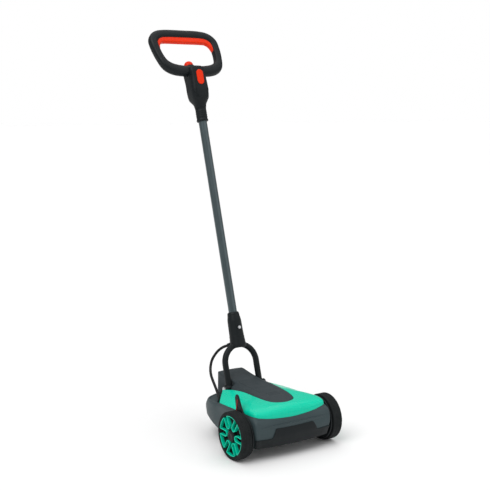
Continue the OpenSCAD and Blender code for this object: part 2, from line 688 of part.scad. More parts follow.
// Each shell is full width near the split plane and narrower towards its face
module grip_shell(front) {
  face = grip_t / 2;
  inside = face - shell_wall;
  on_loop() difference() {
    union() {
      loop_slab(front ? -grip_core : 0, front ? 0 : grip_core) loop_face(0, 0, 1, 1);
      loop_slab(front ? -face : grip_core, front ? -grip_core : face) loop_face(0.13, 0.13, 0.87, 0.87);
    }
    loop_slab(front ? -inside : -1, front ? 1 : inside) loop_face(0.14, 0.14, 0.86, 1.2);
    both() for (p = screw_spots) translate([p[0], -face + 2, p[1]])
      rotate([-90, 0, 0]) cylinder(r = 1.8, h = 40);
  }
}
module grip_front_shell() color(black) grip_shell(true);
module grip_rear_shell() color(black) grip_shell(false);
module grip_screws() color(steel) on_loop() both() for (p = screw_spots)
  translate([p[0], -grip_t / 2 + 2.2, p[1]]) rotate([-90, 0, 0]) cylinder(r = 1.75, h = grip_t - 3);
module trigger_switch() color([0.15, 0.15, 0.17]) on_loop() translate([-12, -5, 160]) cube([24, 10, 8]);

// Trigger bar: lower visible edge, tip, then back along the edge inside the grip
trigger_edge = [
  [0, 126.5, 0], [60, 126.5, 0], [77, 124, 0], [86, 114.5, 0], [91, 99, 0], [95.5, 84, 0], [98.5, 86, 0],
  [101, 106, 0], [100, 126, 0], [90, 143, 0], [68, 150.5, 0], [0, 151, 0]
];
trigger_t = 16;
module trigger_bar() color(orange) on_loop() loop_slab(-trigger_t / 2, trigger_t / 2)
  polygon(flat(whole_ring(half_curve(trigger_edge, 4))));
module trigger_springs() color(steel) on_loop() both() translate([44, 0, 152]) difference() {
  cylinder(r = 3, h = 16, $fn = 24);
  translate([0, 0, -1]) cylinder(r = 2.2, h = 20, $fn = 24);
}

// Buttons on the stem and on the grip's lower bar
module lock_button() color(orange) on_shaft() translate([0, -20, button_s]) rotate([90, 0, 0])
  linear_extrude(9.5) stadium(11, 46);
module lock_spring() color(steel) on_shaft() translate([0, -19.9, button_s - 8])
  rotate([-90, 0, 0]) difference() {
  cylinder(r = 4, h = 7, $fn = 24);
  translate([0, 0, -1]) cylinder(r = 3.2, h = 12, $fn = 24);
}
module start_button() color(orange) on_loop() translate([0, dome_n, dome_base]) rotate_extrude()
  polygon(concat(
  [[0, 0], [dome_r, 0]],
  [for (a = [0:10:80]) [dome_r * cos(a), 12 + 13 * sin(a)]],
  [[0, 25]]
));
module start_spring() color(steel) on_loop() translate([0, dome_n + 7.5, 18.5]) difference() {
  cylinder(r = 3.6, h = dome_base - 18.7, $fn = 24);
  translate([0, 0, -1]) cylinder(r = 2.8, h = 40, $fn = 24);
}

// ---- Cable from the fork to the deck: hand-placed points, in the machine's own frame ----
cable_r = 4;
cable_route = [
  [-5, -24, 245.5], [-11, -15.5, 243], [-17, -7, 240.5], [-24, 2, 237], [-32, 10, 231], [-40, 17, 222],
  [-48, 22, 210], [-56, 24.5, 196], [-63, 21, 181], [-70, 11, 168], [-77, -6, 156], [-83, -28, 145],
  [-88, -50, 133], [-92, -68, 121], [-94, -79, 110], [-94, -82.4, 101]
];
cable_sides = 10;
cable_steps = 3;
function route_point(i) = cable_route[clamp(i, 0, len(cable_route) - 1)];
function cable_path() = [
  for (i = [0:len(cable_route) - 2])
    for (k = [0:cable_steps - 1])
      bend(route_point(i - 1), route_point(i), route_point(i + 1), route_point(i + 2), k / cable_steps),
  route_point(len(cable_route) - 1)
];
function unit(v) = v / norm(v);
module control_cable() color(black) {
  path = cable_path();
  last = len(path) - 1;
  tangents = [for (i = [0:last]) unit(path[min(i + 1, last)] - path[max(i - 1, 0)])];
  sides = [for (t = tangents) unit(cross(t, [0.6, 0.8, 0]))];
  rings = [
    for (i = [0:last]) let (b = cross(tangents[i], sides[i]))
      [for (k = [0:cable_sides - 1]) let (a = (k + 0.5) * 360 / cable_sides)
        path[i] + cable_r * (cos(a) * sides[i] + sin(a) * b)]
  ];
  ribbed([for (r = rings) backwards(r)]);
}

deck_shell();
front_bumper();
shoulder_cover();
top_lid();
motor();
motor_screws();
shaft_bearing();
controller_board();
battery_dock();
pivot_bracket_left();
pivot_bracket_right();
pivot_pins();
deck_gland();
axle_guides();
rear_carrier();
rear_axle();
front_axle();
axle_blocks();
arch_disc_right();
height_lever();
lever_insert();
tyre_left();
rim_left();
trim_left();
hub_cap_left();
bush_left();
tyre_right();
rim_right();
trim_right();
hub_cap_right();
bush_right();
rear_wheel_left();
rear_wheel_right();
motor_shaft();
blade_carrier();
blade();
blade_bolt();
battery_case();
battery_cells();
battery_latch();
latch_spring();
fork();
fork_screw();
handle_tube();
inner_lead();
upper_collar();
stem_housing();
grip_front_shell();
grip_rear_shell();
grip_screws();
trigger_switch();
cable_relief();
trigger_bar();
trigger_springs();
lock_button();
lock_spring();
start_button();
start_spring();
control_cable();
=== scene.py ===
"""Looks for the compact battery mower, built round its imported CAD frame. Metres, +Z up, -Y forward."""

import math

import bmesh
import bpy
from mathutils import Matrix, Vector
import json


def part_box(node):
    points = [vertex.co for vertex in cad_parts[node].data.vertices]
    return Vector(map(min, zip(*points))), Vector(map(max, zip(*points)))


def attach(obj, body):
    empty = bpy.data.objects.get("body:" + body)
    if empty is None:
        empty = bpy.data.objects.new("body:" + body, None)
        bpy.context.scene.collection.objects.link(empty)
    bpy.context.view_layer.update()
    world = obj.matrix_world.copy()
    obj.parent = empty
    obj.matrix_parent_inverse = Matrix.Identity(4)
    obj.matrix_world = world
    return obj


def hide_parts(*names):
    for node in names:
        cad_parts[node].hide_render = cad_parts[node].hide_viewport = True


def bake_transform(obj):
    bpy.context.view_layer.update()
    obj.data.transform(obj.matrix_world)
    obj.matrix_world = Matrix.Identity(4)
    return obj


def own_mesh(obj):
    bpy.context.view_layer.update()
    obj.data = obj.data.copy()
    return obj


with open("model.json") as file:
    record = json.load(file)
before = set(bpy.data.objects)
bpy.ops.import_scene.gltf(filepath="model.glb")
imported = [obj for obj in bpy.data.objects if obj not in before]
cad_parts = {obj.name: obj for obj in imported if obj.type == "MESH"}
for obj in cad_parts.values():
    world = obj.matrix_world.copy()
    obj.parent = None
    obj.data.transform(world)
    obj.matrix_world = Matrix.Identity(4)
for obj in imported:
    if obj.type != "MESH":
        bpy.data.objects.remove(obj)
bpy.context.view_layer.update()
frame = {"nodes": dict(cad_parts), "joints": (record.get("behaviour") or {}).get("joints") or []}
joints = {j["name"]: j for j in frame["joints"]}

# Places taken from the frame
AXLE = Vector(joints["wheel_left_spin"]["pos_m"])
AXLE.x = 0
PIVOT = Vector(joints["handle_pivot"]["pos_m"])
SPIN = Vector(joints["blade_spin"]["pos_m"])
GRIP_UP = Vector(joints["trigger_press"]["axis"]).normalized()
SHAFT_BACK = Vector(joints["lock_press"]["axis"]).normalized()
ACROSS, REARWARD, UPWARD = Vector((1, 0, 0)), Vector((0, 1, 0)), Vector((0, 0, 1))
SHAFT_UP = ACROSS.cross(SHAFT_BACK)
GRIP_BACK = GRIP_UP.cross(ACROSS)

# Driving sizes
TUBE_R = 0.0125
GRIP_T = 0.027
LOOP_S = 0.9334
LOOP_AHEAD = 0.0035
WHEEL_R = 0.065
TYRE_IN = 0.134
TYRE_W = 0.031
WALL = 0.003


# ---------------------------------------------------------------- camera, floor, light
VIEW_AZIMUTH, VIEW_ELEVATION = -32.59, 8.4
LENS, SENSOR = 69.7, 36
# Camera's place from the ground under the front axle, along the view's own axes
VIEW_BACK, VIEW_LEFT, VIEW_UP = 2.6242, 0.099, 0.5611
FLOOR_REACH, FLOOR_DROP = 40, 0.0005
BACKDROP, WORLD_LIGHT = 1.0, 0.34
# Name, azimuth, elevation, strength and spread of each lamp, angles in degrees
SUNS = (("key", -70, 52, 1.70, 45), ("fill", 35, 40, 0.80, 70), ("top", 150, 70, 0.95, 60))


def view_axes(azimuth, elevation):
    """Unit vectors back to the viewer, right and up, for a view from the given angles."""
    a, e = math.radians(azimuth), math.radians(elevation)
    back = Vector((math.sin(a) * math.cos(e), -math.cos(a) * math.cos(e), math.sin(e)))
    right = Vector((math.cos(a), math.sin(a), 0))
    return back, right, back.cross(right)


def add_camera():
    back, right, up = view_axes(VIEW_AZIMUTH, VIEW_ELEVATION)
    data = bpy.data.cameras.new("camera")
    data.lens = LENS
    data.sensor_width = SENSOR
    camera = bpy.data.objects.new("camera", data)
    bpy.context.scene.collection.objects.link(camera)
    ground = Vector((0, AXLE.y, 0))
    camera.location = ground + back * VIEW_BACK - right * VIEW_LEFT + up * VIEW_UP
    camera.rotation_mode = "QUATERNION"
    camera.rotation_quaternion = (-back).to_track_quat("-Z", "Y")
    bpy.context.scene.camera = camera


def add_sun(name, azimuth, elevation, strength, spread):
    """A soft lamp far away, so that the floor is lit evenly."""
    data = bpy.data.lights.new(name, "SUN")
    data.energy = strength
    data.angle = math.radians(spread)
    lamp = bpy.data.objects.new(name, data)
    bpy.context.scene.collection.objects.link(lamp)
    lamp.rotation_mode = "QUATERNION"
    lamp.rotation_quaternion = view_axes(azimuth, elevation)[0].to_track_quat("Z", "Y")


def add_stage():
    corners = [(x * FLOOR_REACH, y * FLOOR_REACH, 0) for x, y in ((-1, -1), (1, -1), (1, 1), (-1, 1))]
    floor = make("floor", corners, [(0, 1, 2, 3)], smooth=False)
    floor.location.z = -FLOOR_DROP
    paint(floor, FINISH["floor"])
    add_world(BACKDROP, WORLD_LIGHT)
    for sun in SUNS:
        add_sun(*sun)
    bpy.context.scene.view_settings.view_transform = "Standard"


def add_world(backdrop, light):
    """White backdrop that gives less light than it shows, so that dark plastic stays dark."""
    world = bpy.data.worlds.new("studio")
    world.use_nodes = True
    nodes, links = world.node_tree.nodes, world.node_tree.links
    seen = nodes.new("ShaderNodeLightPath").outputs["Is Camera Ray"]
    level = nodes.new("ShaderNodeMapRange")
    level.inputs["To Min"].default_value = light
    level.inputs["To Max"].default_value = backdrop
    links.new(seen, level.inputs["Value"])
    links.new(level.outputs["Result"], nodes["Background"].inputs["Strength"])
    nodes["Background"].inputs["Color"].default_value = (1, 1, 1, 1)
    bpy.context.scene.world = world


# ---------------------------------------------------------------- materials
class Graph:
    """A small helper that builds one node material."""

    def __init__(self, name):
        self.material = bpy.data.materials.new(name)
        self.material.use_nodes = True
        self.nodes = self.material.node_tree.nodes
        self.links = self.material.node_tree.links
        self.shader = self.nodes["Principled BSDF"]
        self.where = self.nodes.new("ShaderNodeTexCoord").outputs["Object"]

    def new(self, kind, inputs=(), **facts):
        node = self.nodes.new(kind)
        for key, value in facts.items():
            setattr(node, key, value)
        for key, value in dict(inputs).items():
            if isinstance(value, bpy.types.NodeSocket):
                self.links.new(value, node.inputs[key])
            else:
                node.inputs[key].default_value = value
        return node

    def noise(self, scale, detail=3.0, stretch=None):
        where = self.where
        if stretch:
            where = self.new("ShaderNodeMapping", {"Vector": where, "Scale": stretch}).outputs[0]
        made = self.new("ShaderNodeTexNoise", {"Vector": where, "Scale": scale, "Detail": detail})
        return made.outputs["Fac"]

    def remap(self, value, low, high, to_low, to_high):
        inputs = {"Value": value, "From Min": low, "From Max": high, "To Min": to_low, "To Max": to_high}
        return self.new("ShaderNodeMapRange", inputs).outputs["Result"]

    def blend(self, factor, a, b):
        inputs = {"Factor": factor, "A": a, "B": b}
        node = self.nodes.new("ShaderNodeMix")
        node.data_type = "RGBA"
        for key, value in inputs.items():
            socket = [s for s in node.inputs if s.name == key and s.enabled][0]
            if isinstance(value, bpy.types.NodeSocket):
                self.links.new(value, socket)
            else:
                socket.default_value = value
        return [s for s in node.outputs if s.enabled][0]

    def bump(self, height, strength, distance, under=None):
        inputs = {"Height": height, "Strength": strength, "Distance": distance}
        if under:
            inputs["Normal"] = under
        return self.new("ShaderNodeBump", inputs).outputs["Normal"]

    def edges(self):
        """How far a point is on a worn outer edge, from 0 to 1."""
        sharp = self.nodes.new("ShaderNodeNewGeometry").outputs["Pointiness"]
        worn = self.remap(sharp, 0.53, 0.62, 0, 1)
        return self.new("ShaderNodeMath", {0: worn, 1: self.noise(140)}, operation="MULTIPLY").outputs[0]

    def wire(self, **sockets):
        for key, value in sockets.items():
            name = key.replace("_", " ")
            if isinstance(value, bpy.types.NodeSocket):
                self.links.new(value, self.shader.inputs[name])
            else:
                self.shader.inputs[name].default_value = value


def rgb(colour, gain=1.0):
    return (*[min(1, c * gain) for c in colour], 1)


def plastic(name, colour, rough=0.45, vary=0.12, grain=0.25, grain_size=1400, wear=0.3, coat=0.0, gloss=0.2):
    """Moulded plastic: cloudy colour, fine grain, scuffed edges, patchy roughness and faint dust."""
    g = Graph(name)
    cloudy = g.blend(g.noise(9), rgb(colour, 1 - vary), rgb(colour, 1 + vary))
    speckled = g.blend(g.remap(g.noise(520, 2), 0.35, 0.75, 0, 0.35), cloudy, rgb(colour, 1 - 1.6 * vary))
    pale = [min(1, c * 1.4 + 0.02) for c in colour]
    worn = g.new("ShaderNodeMath", {0: g.edges(), 1: wear}, operation="MULTIPLY").outputs[0]
    g.wire(Base_Color=g.blend(worn, speckled, rgb(pale)))
    g.wire(Roughness=g.remap(g.noise(34, 4), 0.3, 0.7, rough - 0.07, rough + 0.09))
    low = g.bump(g.noise(16), 0.12, 0.002)
    g.wire(Normal=g.bump(g.noise(grain_size, 2), grain, 0.0002, low))
    g.wire(Coat_Weight=coat, Coat_Roughness=0.12, Specular_IOR_Level=gloss)
    return g.material


def metal(name, colour, rough=0.32, brushed=(1, 1, 1), brush=0.2, coat=0.0, metallic=1.0):
    """Metal with brush marks along one direction, dull patches and fine scratches."""
    g = Graph(name)
    lines = g.noise(700, 4, brushed)
    patchy = g.blend(g.noise(22, 5), rgb(colour, 0.82), rgb(colour, 1.12))
    bright = g.blend(g.remap(lines, 0.3, 0.7, 0, 0.4), patchy, rgb(colour, 1.25))
    g.wire(Base_Color=g.blend(g.remap(g.edges(), 0, 1, 0, 0.5), bright, rgb(colour, 1.6)))
    g.wire(Roughness=g.remap(lines, 0.25, 0.75, rough - 0.08, rough + 0.12))
    g.wire(Normal=g.bump(lines, brush, 0.0002))
    g.wire(Metallic=metallic, Coat_Weight=coat, Coat_Roughness=0.15)
    return g.material


def rubber(name, colour, rough=0.72):
    """Rubber: dusty, matt and a little mottled."""
    g = Graph(name)
    dusty = [c * 1.6 + 0.006 for c in colour]
    mottled = g.blend(g.noise(45, 5), rgb(colour, 0.8), rgb(colour, 1.25))
    g.wire(Base_Color=g.blend(g.remap(g.noise(12, 6), 0.52, 0.8, 0, 0.45), mottled, rgb(dusty)))
    g.wire(Roughness=g.remap(g.noise(60, 3), 0.3, 0.7, rough - 0.08, rough + 0.1))
    g.wire(Normal=g.bump(g.noise(1100, 3), 0.3, 0.0003), Specular_IOR_Level=0.22)
    return g.material


def board(name):
    """Circuit board: green lacquer over faint copper tracks."""
    g = Graph(name)
    tracks = g.new("ShaderNodeTexBrick", {"Vector": g.where, "Scale": 160.0, "Mortar Size": 0.06})
    mask = g.remap(tracks.outputs["Fac"], 0, 1, 0, 0.6)
    green = g.blend(g.noise(30), (0.012, 0.10, 0.045, 1), (0.02, 0.15, 0.07, 1))
    g.wire(Base_Color=g.blend(mask, green, (0.10, 0.28, 0.12, 1)))
    g.wire(Roughness=g.remap(g.noise(80), 0.3, 0.7, 0.22, 0.36))
    g.wire(Normal=g.bump(tracks.outputs["Fac"], 0.2, 0.0002), Coat_Weight=0.4)
    return g.material


def pale_floor(name):
    g = Graph(name)
    g.wire(Base_Color=g.blend(g.noise(1.5), (0.86, 0.86, 0.86, 1), (0.9, 0.9, 0.9, 1)), Roughness=0.7)
    return g.material


BLACK = (0.0055, 0.0082, 0.0095)
GREY = (0.038, 0.057, 0.062)
LID = (0.030, 0.040, 0.045)
TEAL = (0.0, 0.56, 0.362)
ORANGE = (0.79, 0.030, 0.002)
FINISH = {
    "black": plastic("black_moulding", BLACK, rough=0.46),
    "soft": plastic("soft_grip", (0.0065, 0.0090, 0.0105), rough=0.46, grain=0.4, grain_size=900, wear=0.12),
    "grey": plastic("grey_moulding", GREY, rough=0.42, vary=0.08, grain=0.2),
    "lid": plastic("lid_moulding", LID, rough=0.55, vary=0.08, grain=0.45, grain_size=1900),
    "teal": plastic("teal_moulding", TEAL, 0.26, vary=0.07, grain=0.06, wear=0.15, coat=0.12, gloss=0.14),
    "orange": plastic("orange_moulding", ORANGE, 0.34, 0.07, 0.12, wear=0.12, coat=0.04, gloss=0.12),
    "red": plastic("red_mark", (0.22, 0.022, 0.018), rough=0.5),
    "tyre": rubber("tyre_rubber", (0.0055, 0.0075, 0.0080)),
    "cable": rubber("cable_sheath", (0.007, 0.0075, 0.008), rough=0.45),
    "steel": metal("plain_steel", (0.48, 0.49, 0.50), brushed=(1, 0.05, 1)),
    "spring": metal("spring_steel", (0.38, 0.39, 0.41), rough=0.25),
    "tube": metal("coated_tube", (0.070, 0.094, 0.102), 0.34, (1, 1, 0.03), 0.06, coat=0.2, metallic=0.7),
    "blade": metal("blade_steel", (0.13, 0.135, 0.14), 0.38, (0.04, 1, 1), 0.15, metallic=0.8),
    "can": metal("motor_can", (0.30, 0.31, 0.33), 0.4, (1, 1, 0.05), 0.12),
    "board": board("circuit_board"),
    "cell": plastic("cell_wrap", (0.03, 0.11, 0.36), rough=0.3, coat=0.3),
    "floor": pale_floor("pale_floor"),
}


def paint(obj, material):
    obj.data.materials.clear()
    obj.data.materials.append(material)
    return obj


# ---------------------------------------------------------------- curves and meshes
def mix(a, b, t):
    return a * (1 - t) + b * t


def clamp(v, low=0.0, high=1.0):
    return min(max(v, low), high)


def smooth(t):
    t = clamp(t)
    return t * t * (3 - 2 * t)


def bend(a, b, c, d, t):
    """A point on a Catmull-Rom curve between b and c."""
    return 0.5 * (
        2 * b + (c - a) * t + (2 * a - 5 * b + 4 * c - d) * t * t + (3 * b - a - 3 * c + d) * t**3
    )


def flip(p):
    return Vector((-p[0], p[1], p[2]))


def bends(q, steps):
    """Smooth run through q, without q's own first point and its last two."""
    return [bend(*q[i : i + 4], k / steps) for i in range(len(q) - 3) for k in range(steps)]


def curve(points, steps):
    """Smooth curve through points that keeps both of its ends."""
    p = [Vector(q) for q in points]
    return bends([2 * p[0] - p[1]] + p + [2 * p[-1] - p[-2]], steps) + [p[-1]]


def half_curve(points, steps):
    """Curve through a half outline that starts on x = 0 and ends on x = 0."""
    p = [Vector(q) for q in points]
    return bends([flip(p[1])] + p + [flip(p[-2])], steps) + [p[-1]]


def open_half(points, steps):
    """Curve through a half outline that only starts on x = 0."""
    p = [Vector(q) for q in points]
    return bends([flip(p[1])] + p + [2 * p[-1] - p[-2]], steps) + [p[-1]]


def whole_ring(half):
    """Closed ring from a half outline whose two ends lie on x = 0."""
    return half + [flip(p) for p in reversed(half[1:-1])]


def ring_of(line, steps):
    return whole_ring(half_curve(line, steps))


def rows_between(lines, ring_steps, steps):
    """Rings of a wall that runs smoothly up through several half outlines."""
    columns = [curve(column, steps) for column in zip(*[ring_of(line, ring_steps) for line in lines])]
    return [list(row) for row in zip(*columns)]


def both_halves(ribs):
    """Ribs of the whole piece, from those of its right half; the first one lies on x = 0."""
    return [[flip(p) for p in rib] for rib in reversed(ribs[1:])] + ribs


def polar(r, a):
    return r * math.cos(a), r * math.sin(a)


def around(turns):
    return [2 * math.pi * i / turns for i in range(turns)]


def spaced(a, b, n):
    return [a + (b - a) * k / n for k in range(n + 1)]


def angles(start, end, steps):
    """Evenly spaced angles in radians, from start to end in degrees."""
    return [math.radians(start + (end - start) * k / steps) for k in range(steps + 1)]


def between(row, t):
    """A point at a place between two points of a row."""
    k = min(int(t), len(row) - 2)
    return mix(row[k], row[k + 1], t - k)


def make(name, points, faces, smooth=True):
    data = bpy.data.meshes.new(name)
    data.from_pydata([tuple(p) for p in points], [], faces)
    data.validate()
    obj = bpy.data.objects.new(name, data)
    bpy.context.scene.collection.objects.link(obj)
    data.polygons.foreach_set("use_smooth", [smooth] * len(data.polygons))
    return obj


def skin(rows, n, wrap=False):
    """Faces between neighbouring rings of n points; wrap also joins the last ring to the first."""
    faces = []
    for r in range(rows if wrap else rows - 1):
        a, b = r * n, (r + 1) % rows * n
        faces += [(a + i, a + (i + 1) % n, b + (i + 1) % n, b + i) for i in range(n)]
    return faces


def loft(name, rings, closed_rows=False, folded=False):
    """Skin over rings of equal length; open ends are closed with a fan round a centre point, or
    with a strip across a thin ring that runs out and back."""
    n = len(rings[0])
    points = [p for ring in rings for p in ring]
    faces = skin(len(rings), n, closed_rows)
    ends = () if closed_rows else ((0, -1), ((len(rings) - 1) * n, 1))
    for start, order in ends:
        if folded:
            strip = [(i, i + 1, n - 2 - i, n - 1 - i) for i in range(n // 2 - 1)]
            faces += [tuple(start + k for k in quad)[::order] for quad in strip]
            continue
        points.append(sum(points[start : start + n], Vector()) / n)
        for i in range(n):
            pair = (start + i, start + (i + 1) % n)
            faces.append((len(points) - 1, *pair[::order]))
    return make(name, points, faces)


def strip_capped(name, rings):
    """Like loft, but each end is closed by strips between mirrored points."""
    n = len(rings[0])
    points = [p for ring in rings for p in ring]
    faces = skin(len(rings), n)
    for start, turn in ((0, 1), ((len(rings) - 1) * n, -1)):
        for i in range(n // 2):
            face = [start + i, start + i + 1, start + (n - i - 1) % n, start + (n - i) % n]
            faces.append(tuple(dict.fromkeys(face[::turn])))
    return tidy(make(name, points, [f for f in faces if len(f) > 2]))


def place(origin, x, y, z):
    """Maps a local point to the row frame with the given origin and axes."""
    return lambda p: origin + x * p[0] + y * p[1] + z * p[2]


def lathe(name, profile, at, turns=96):
    """Turns a profile of (radius, height) about the local z of the given placing."""
    points = [at(Vector((*polar(r, a), h))) for a in around(turns) for r, h in profile]
    n = len(profile)
    faces = []
    for i in range(turns):
        a, b = i * n, (i + 1) % turns * n
        faces += [(a + k, b + k, b + (k + 1) % n, a + (k + 1) % n) for k in range(n)]
    return tidy(make(name, points, faces))


WELD = 0.00002


def tidy(obj):
    """Welds doubled points, drops flat faces and turns every face outward."""
    mesh = bmesh.new()
    mesh.from_mesh(obj.data)
    bmesh.ops.remove_doubles(mesh, verts=mesh.verts, dist=WELD)
    bmesh.ops.dissolve_degenerate(mesh, edges=mesh.edges, dist=WELD / 2)
    bmesh.ops.recalc_face_normals(mesh, faces=mesh.faces)
    mesh.to_mesh(obj.data)
    mesh.free()
    return obj


def sweep(name, path, section, up, closed=False):
    """Sweeps a flat section of (side, up) pairs along a path that keeps one up direction."""
    rings = []
    n = len(path)
    for i, p in enumerate(path):
        before = path[i - 1] if closed or i else p
        after = path[(i + 1) % n] if closed or i < n - 1 else p
        along = (after - before).normalized()
        side = along.cross(up).normalized()
        rings.append([p + side * s[0] + up * s[1] for s in section])
    return tidy(loft(name, rings, closed_rows=closed))


def tube(name, path, radius, sides=16):
    """Round tube along a path, with its frame carried from ring to ring."""
    rings = []
    normal = None
    for i, p in enumerate(path):
        along = (path[min(i + 1, len(path) - 1)] - path[max(i - 1, 0)]).normalized()
        if normal is None:
            normal = along.orthogonal().normalized()
        normal = (normal - along * normal.dot(along)).normalized()
        side = along.cross(normal)
        rings.append([p + (normal * math.cos(a) + side * math.sin(a)) * radius for a in around(sides)])
    return tidy(loft(name, rings))


def rounded_outline(width, height, radius, steps=6):
    """Points round a rounded rectangle centred on the origin."""
    made = []
    for cx, cy, start in ((1, 1, 0), (-1, 1, 90), (-1, -1, 180), (1, -1, 270)):
        for k in range(steps + 1):
            a = math.radians(start + 90 * k / steps)
            x = cx * (width / 2 - radius) + radius * math.cos(a)
            y = cy * (height / 2 - radius) + radius * math.sin(a)
            made.append((x, y))
    return made


def plate(name, outline, low, high, at):
    """Solid plate: a flat outline, swept from low to high along the placing's z."""
    n = len(outline)
    points = [at(Vector((p[0], p[1], h))) for h in (low, high) for p in outline]
    faces = [tuple(range(n))[::-1], tuple(range(n, 2 * n))]
    faces += [(i, (i + 1) % n, n + (i + 1) % n, n + i) for i in range(n)]
    return tidy(make(name, points, faces, smooth=True))


def soften(obj, width, segments=3, angle=35):
    """Rounds the sharp edges and keeps flat faces flat."""
    round_off = obj.modifiers.new("round", "BEVEL")
    round_off.width = width
    round_off.segments = segments
    round_off.limit_method = "ANGLE"
    round_off.angle_limit = math.radians(angle)
    round_off.harden_normals = False
    even = obj.modifiers.new("even", "WEIGHTED_NORMAL")
    even.keep_sharp = False
    return obj


def apply_modifiers(obj):
    graph = bpy.context.evaluated_depsgraph_get()
    made = bpy.data.meshes.new_from_object(obj.evaluated_get(graph))
    old = obj.data
    obj.modifiers.clear()
    obj.data = made
    bpy.data.meshes.remove(old)
    return obj


def cut(obj, *tools):
    """Takes the tools' solids away from obj and deletes the tools."""
    for tool in tools:
        take = obj.modifiers.new("cut", "BOOLEAN")
        take.operation = "DIFFERENCE"
        take.solver = "EXACT"
        take.object = tool
    apply_modifiers(obj)
    for tool in tools:
        bpy.data.objects.remove(tool)
    return obj


def join(name, parts):
    """One object from several meshes."""
    mesh = bmesh.new()
    for part in parts:
        mesh.from_mesh(part.data)
    data = bpy.data.meshes.new(name)
    mesh.to_mesh(data)
    mesh.free()
    for part in parts:
        bpy.data.objects.remove(part)
    obj = bpy.data.objects.new(name, data)
    bpy.context.scene.collection.objects.link(obj)
    data.polygons.foreach_set("use_smooth", [True] * len(data.polygons))
    return obj


def fuse(obj, grain=0.0012, passes=6):
    """Melts overlapping solids into one moulding with soft fillets."""
    melt = obj.modifiers.new("melt", "REMESH")
    melt.mode = "VOXEL"
    melt.voxel_size = grain
    melt.use_smooth_shade = True
    relax = obj.modifiers.new("relax", "SMOOTH")
    relax.factor = 0.5
    relax.iterations = passes
    return apply_modifiers(obj)


def dress(obj, finish, body, slot, *nodes):
    """Gives a finished piece its material and its body, and hides the CAD nodes it stands for; slot is not used.
    """
    paint(obj, FINISH[finish])
    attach(obj, body)
    if nodes:
        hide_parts(*nodes)
    return obj


def from_axle(points):
    """Points given from the front axle's middle on the ground, as row-frame points."""
    return [Vector((p[0], p[1] + AXLE.y, p[2])) for p in points]


def on_shaft(p):
    """A local point of the handle: origin at the pivot, z up the tube, y to the rear."""
    return PIVOT + ACROSS * p[0] + SHAFT_BACK * p[1] + SHAFT_UP * p[2]


def on_loop(p):
    """A local point of the grip: origin on the tube's axis, z up the loop, y to its rear."""
    origin = on_shaft((0, -LOOP_AHEAD, LOOP_S))
    return origin + ACROSS * p[0] + GRIP_BACK * p[1] + GRIP_UP * p[2]


# ---------------------------------------------------------------- deck
# Right half outlines from the front middle to the rear middle, from the front axle
SKIRT_LINE = from_axle([
    (0, -0.065, 0.036), (0.06, -0.062, 0.036), (0.099, -0.057, 0.036), (0.117, -0.048, 0.036),
    (0.122, -0.01, 0.036), (0.1225, 0.045, 0.036), (0.1225, 0.095, 0.036), (0.122, 0.133, 0.04),
    (0.118, 0.185, 0.053), (0.099, 0.234, 0.061), (0.053, 0.259, 0.066), (0, 0.264, 0.067),
])
BELT_LINE = from_axle([
    (0, -0.069, 0.07), (0.06, -0.068, 0.07), (0.106, -0.066, 0.071), (0.123, -0.059, 0.072),
    (0.1255, -0.012, 0.072), (0.125, 0.045, 0.072), (0.125, 0.095, 0.072), (0.124, 0.133, 0.073),
    (0.12, 0.185, 0.076), (0.101, 0.235, 0.082), (0.054, 0.262, 0.085), (0, 0.267, 0.086),
])
CHEEK_LINE = from_axle([
    (0, -0.061, 0.095), (0.059, -0.06, 0.097), (0.103, -0.06, 0.101), (0.1215, -0.056, 0.105),
    (0.125, -0.012, 0.106), (0.125, 0.045, 0.106), (0.1245, 0.092, 0.104), (0.1215, 0.133, 0.101),
    (0.117, 0.183, 0.096), (0.099, 0.232, 0.094), (0.053, 0.258, 0.094), (0, 0.2635, 0.094),
])
RIM_LINE = from_axle([
    (0, -0.057, 0.107), (0.058, -0.055, 0.11), (0.097, -0.05, 0.115), (0.115, -0.041, 0.119),
    (0.1215, -0.006, 0.12), (0.1225, 0.048, 0.1195), (0.121, 0.095, 0.1165), (0.117, 0.133, 0.1125),
    (0.113, 0.18, 0.104), (0.097, 0.23, 0.099), (0.052, 0.257, 0.098), (0, 0.262, 0.098),
])
DECK_STEPS = 10
PLATE_Z = 0.097
GLAND_X, GLAND_Y = -0.094, 0.170


def shrunk(line, by):
    middle = AXLE.y + 0.1
    return [Vector((p[0] * (1 - by / 0.122), mix(p[1], middle, by / 0.165), p[2])) for p in line]


def at_z(line, z):
    return [Vector((p[0], p[1], z)) for p in line]


def lifted(line, dz):
    return [Vector((p[0], p[1], p[2] + dz)) for p in line]


def build_deck():
    outside = rows_between([SKIRT_LINE, BELT_LINE, CHEEK_LINE, RIM_LINE], DECK_STEPS, 6)
    inside = [at_z(shrunk(BELT_LINE, WALL), PLATE_Z - WALL), shrunk(BELT_LINE, WALL), shrunk(SKIRT_LINE, WALL)]
    top = [shrunk(RIM_LINE, WALL), at_z(shrunk(RIM_LINE, WALL * 1.3), PLATE_Z)]
    inside, top = ([ring_of(line, DECK_STEPS) for line in lines] for lines in (inside, top))
    deck = tidy(loft("deck_body", inside + outside + top))
    tools = [box_solid((side * 0.124, AXLE.y, 0.062), (0.020, 0.013, 0.036)) for side in (-1, 1)]
    tools.append(rod((GLAND_X, AXLE.y + GLAND_Y, PLATE_Z), (0, 0, 1), 0.006, 0.02))
    tools.append(rod((0, SPIN.y, PLATE_Z), (0, 0, 1), 0.011, 0.02))
    cut(deck, *tools)
    dress(soften(deck, 0.0011), "grey", "deck", "grey_plastic", "deck_shell")


def box_solid(centre, size):
    """Box along the main axes with slightly rounded upright edges."""
    outline = rounded_outline(size[0], size[1], min(size[:2]) * 0.08, 2)
    at = place(Vector(centre), ACROSS, REARWARD, UPWARD)
    return plate("block", outline, -size[2] / 2, size[2] / 2, at)


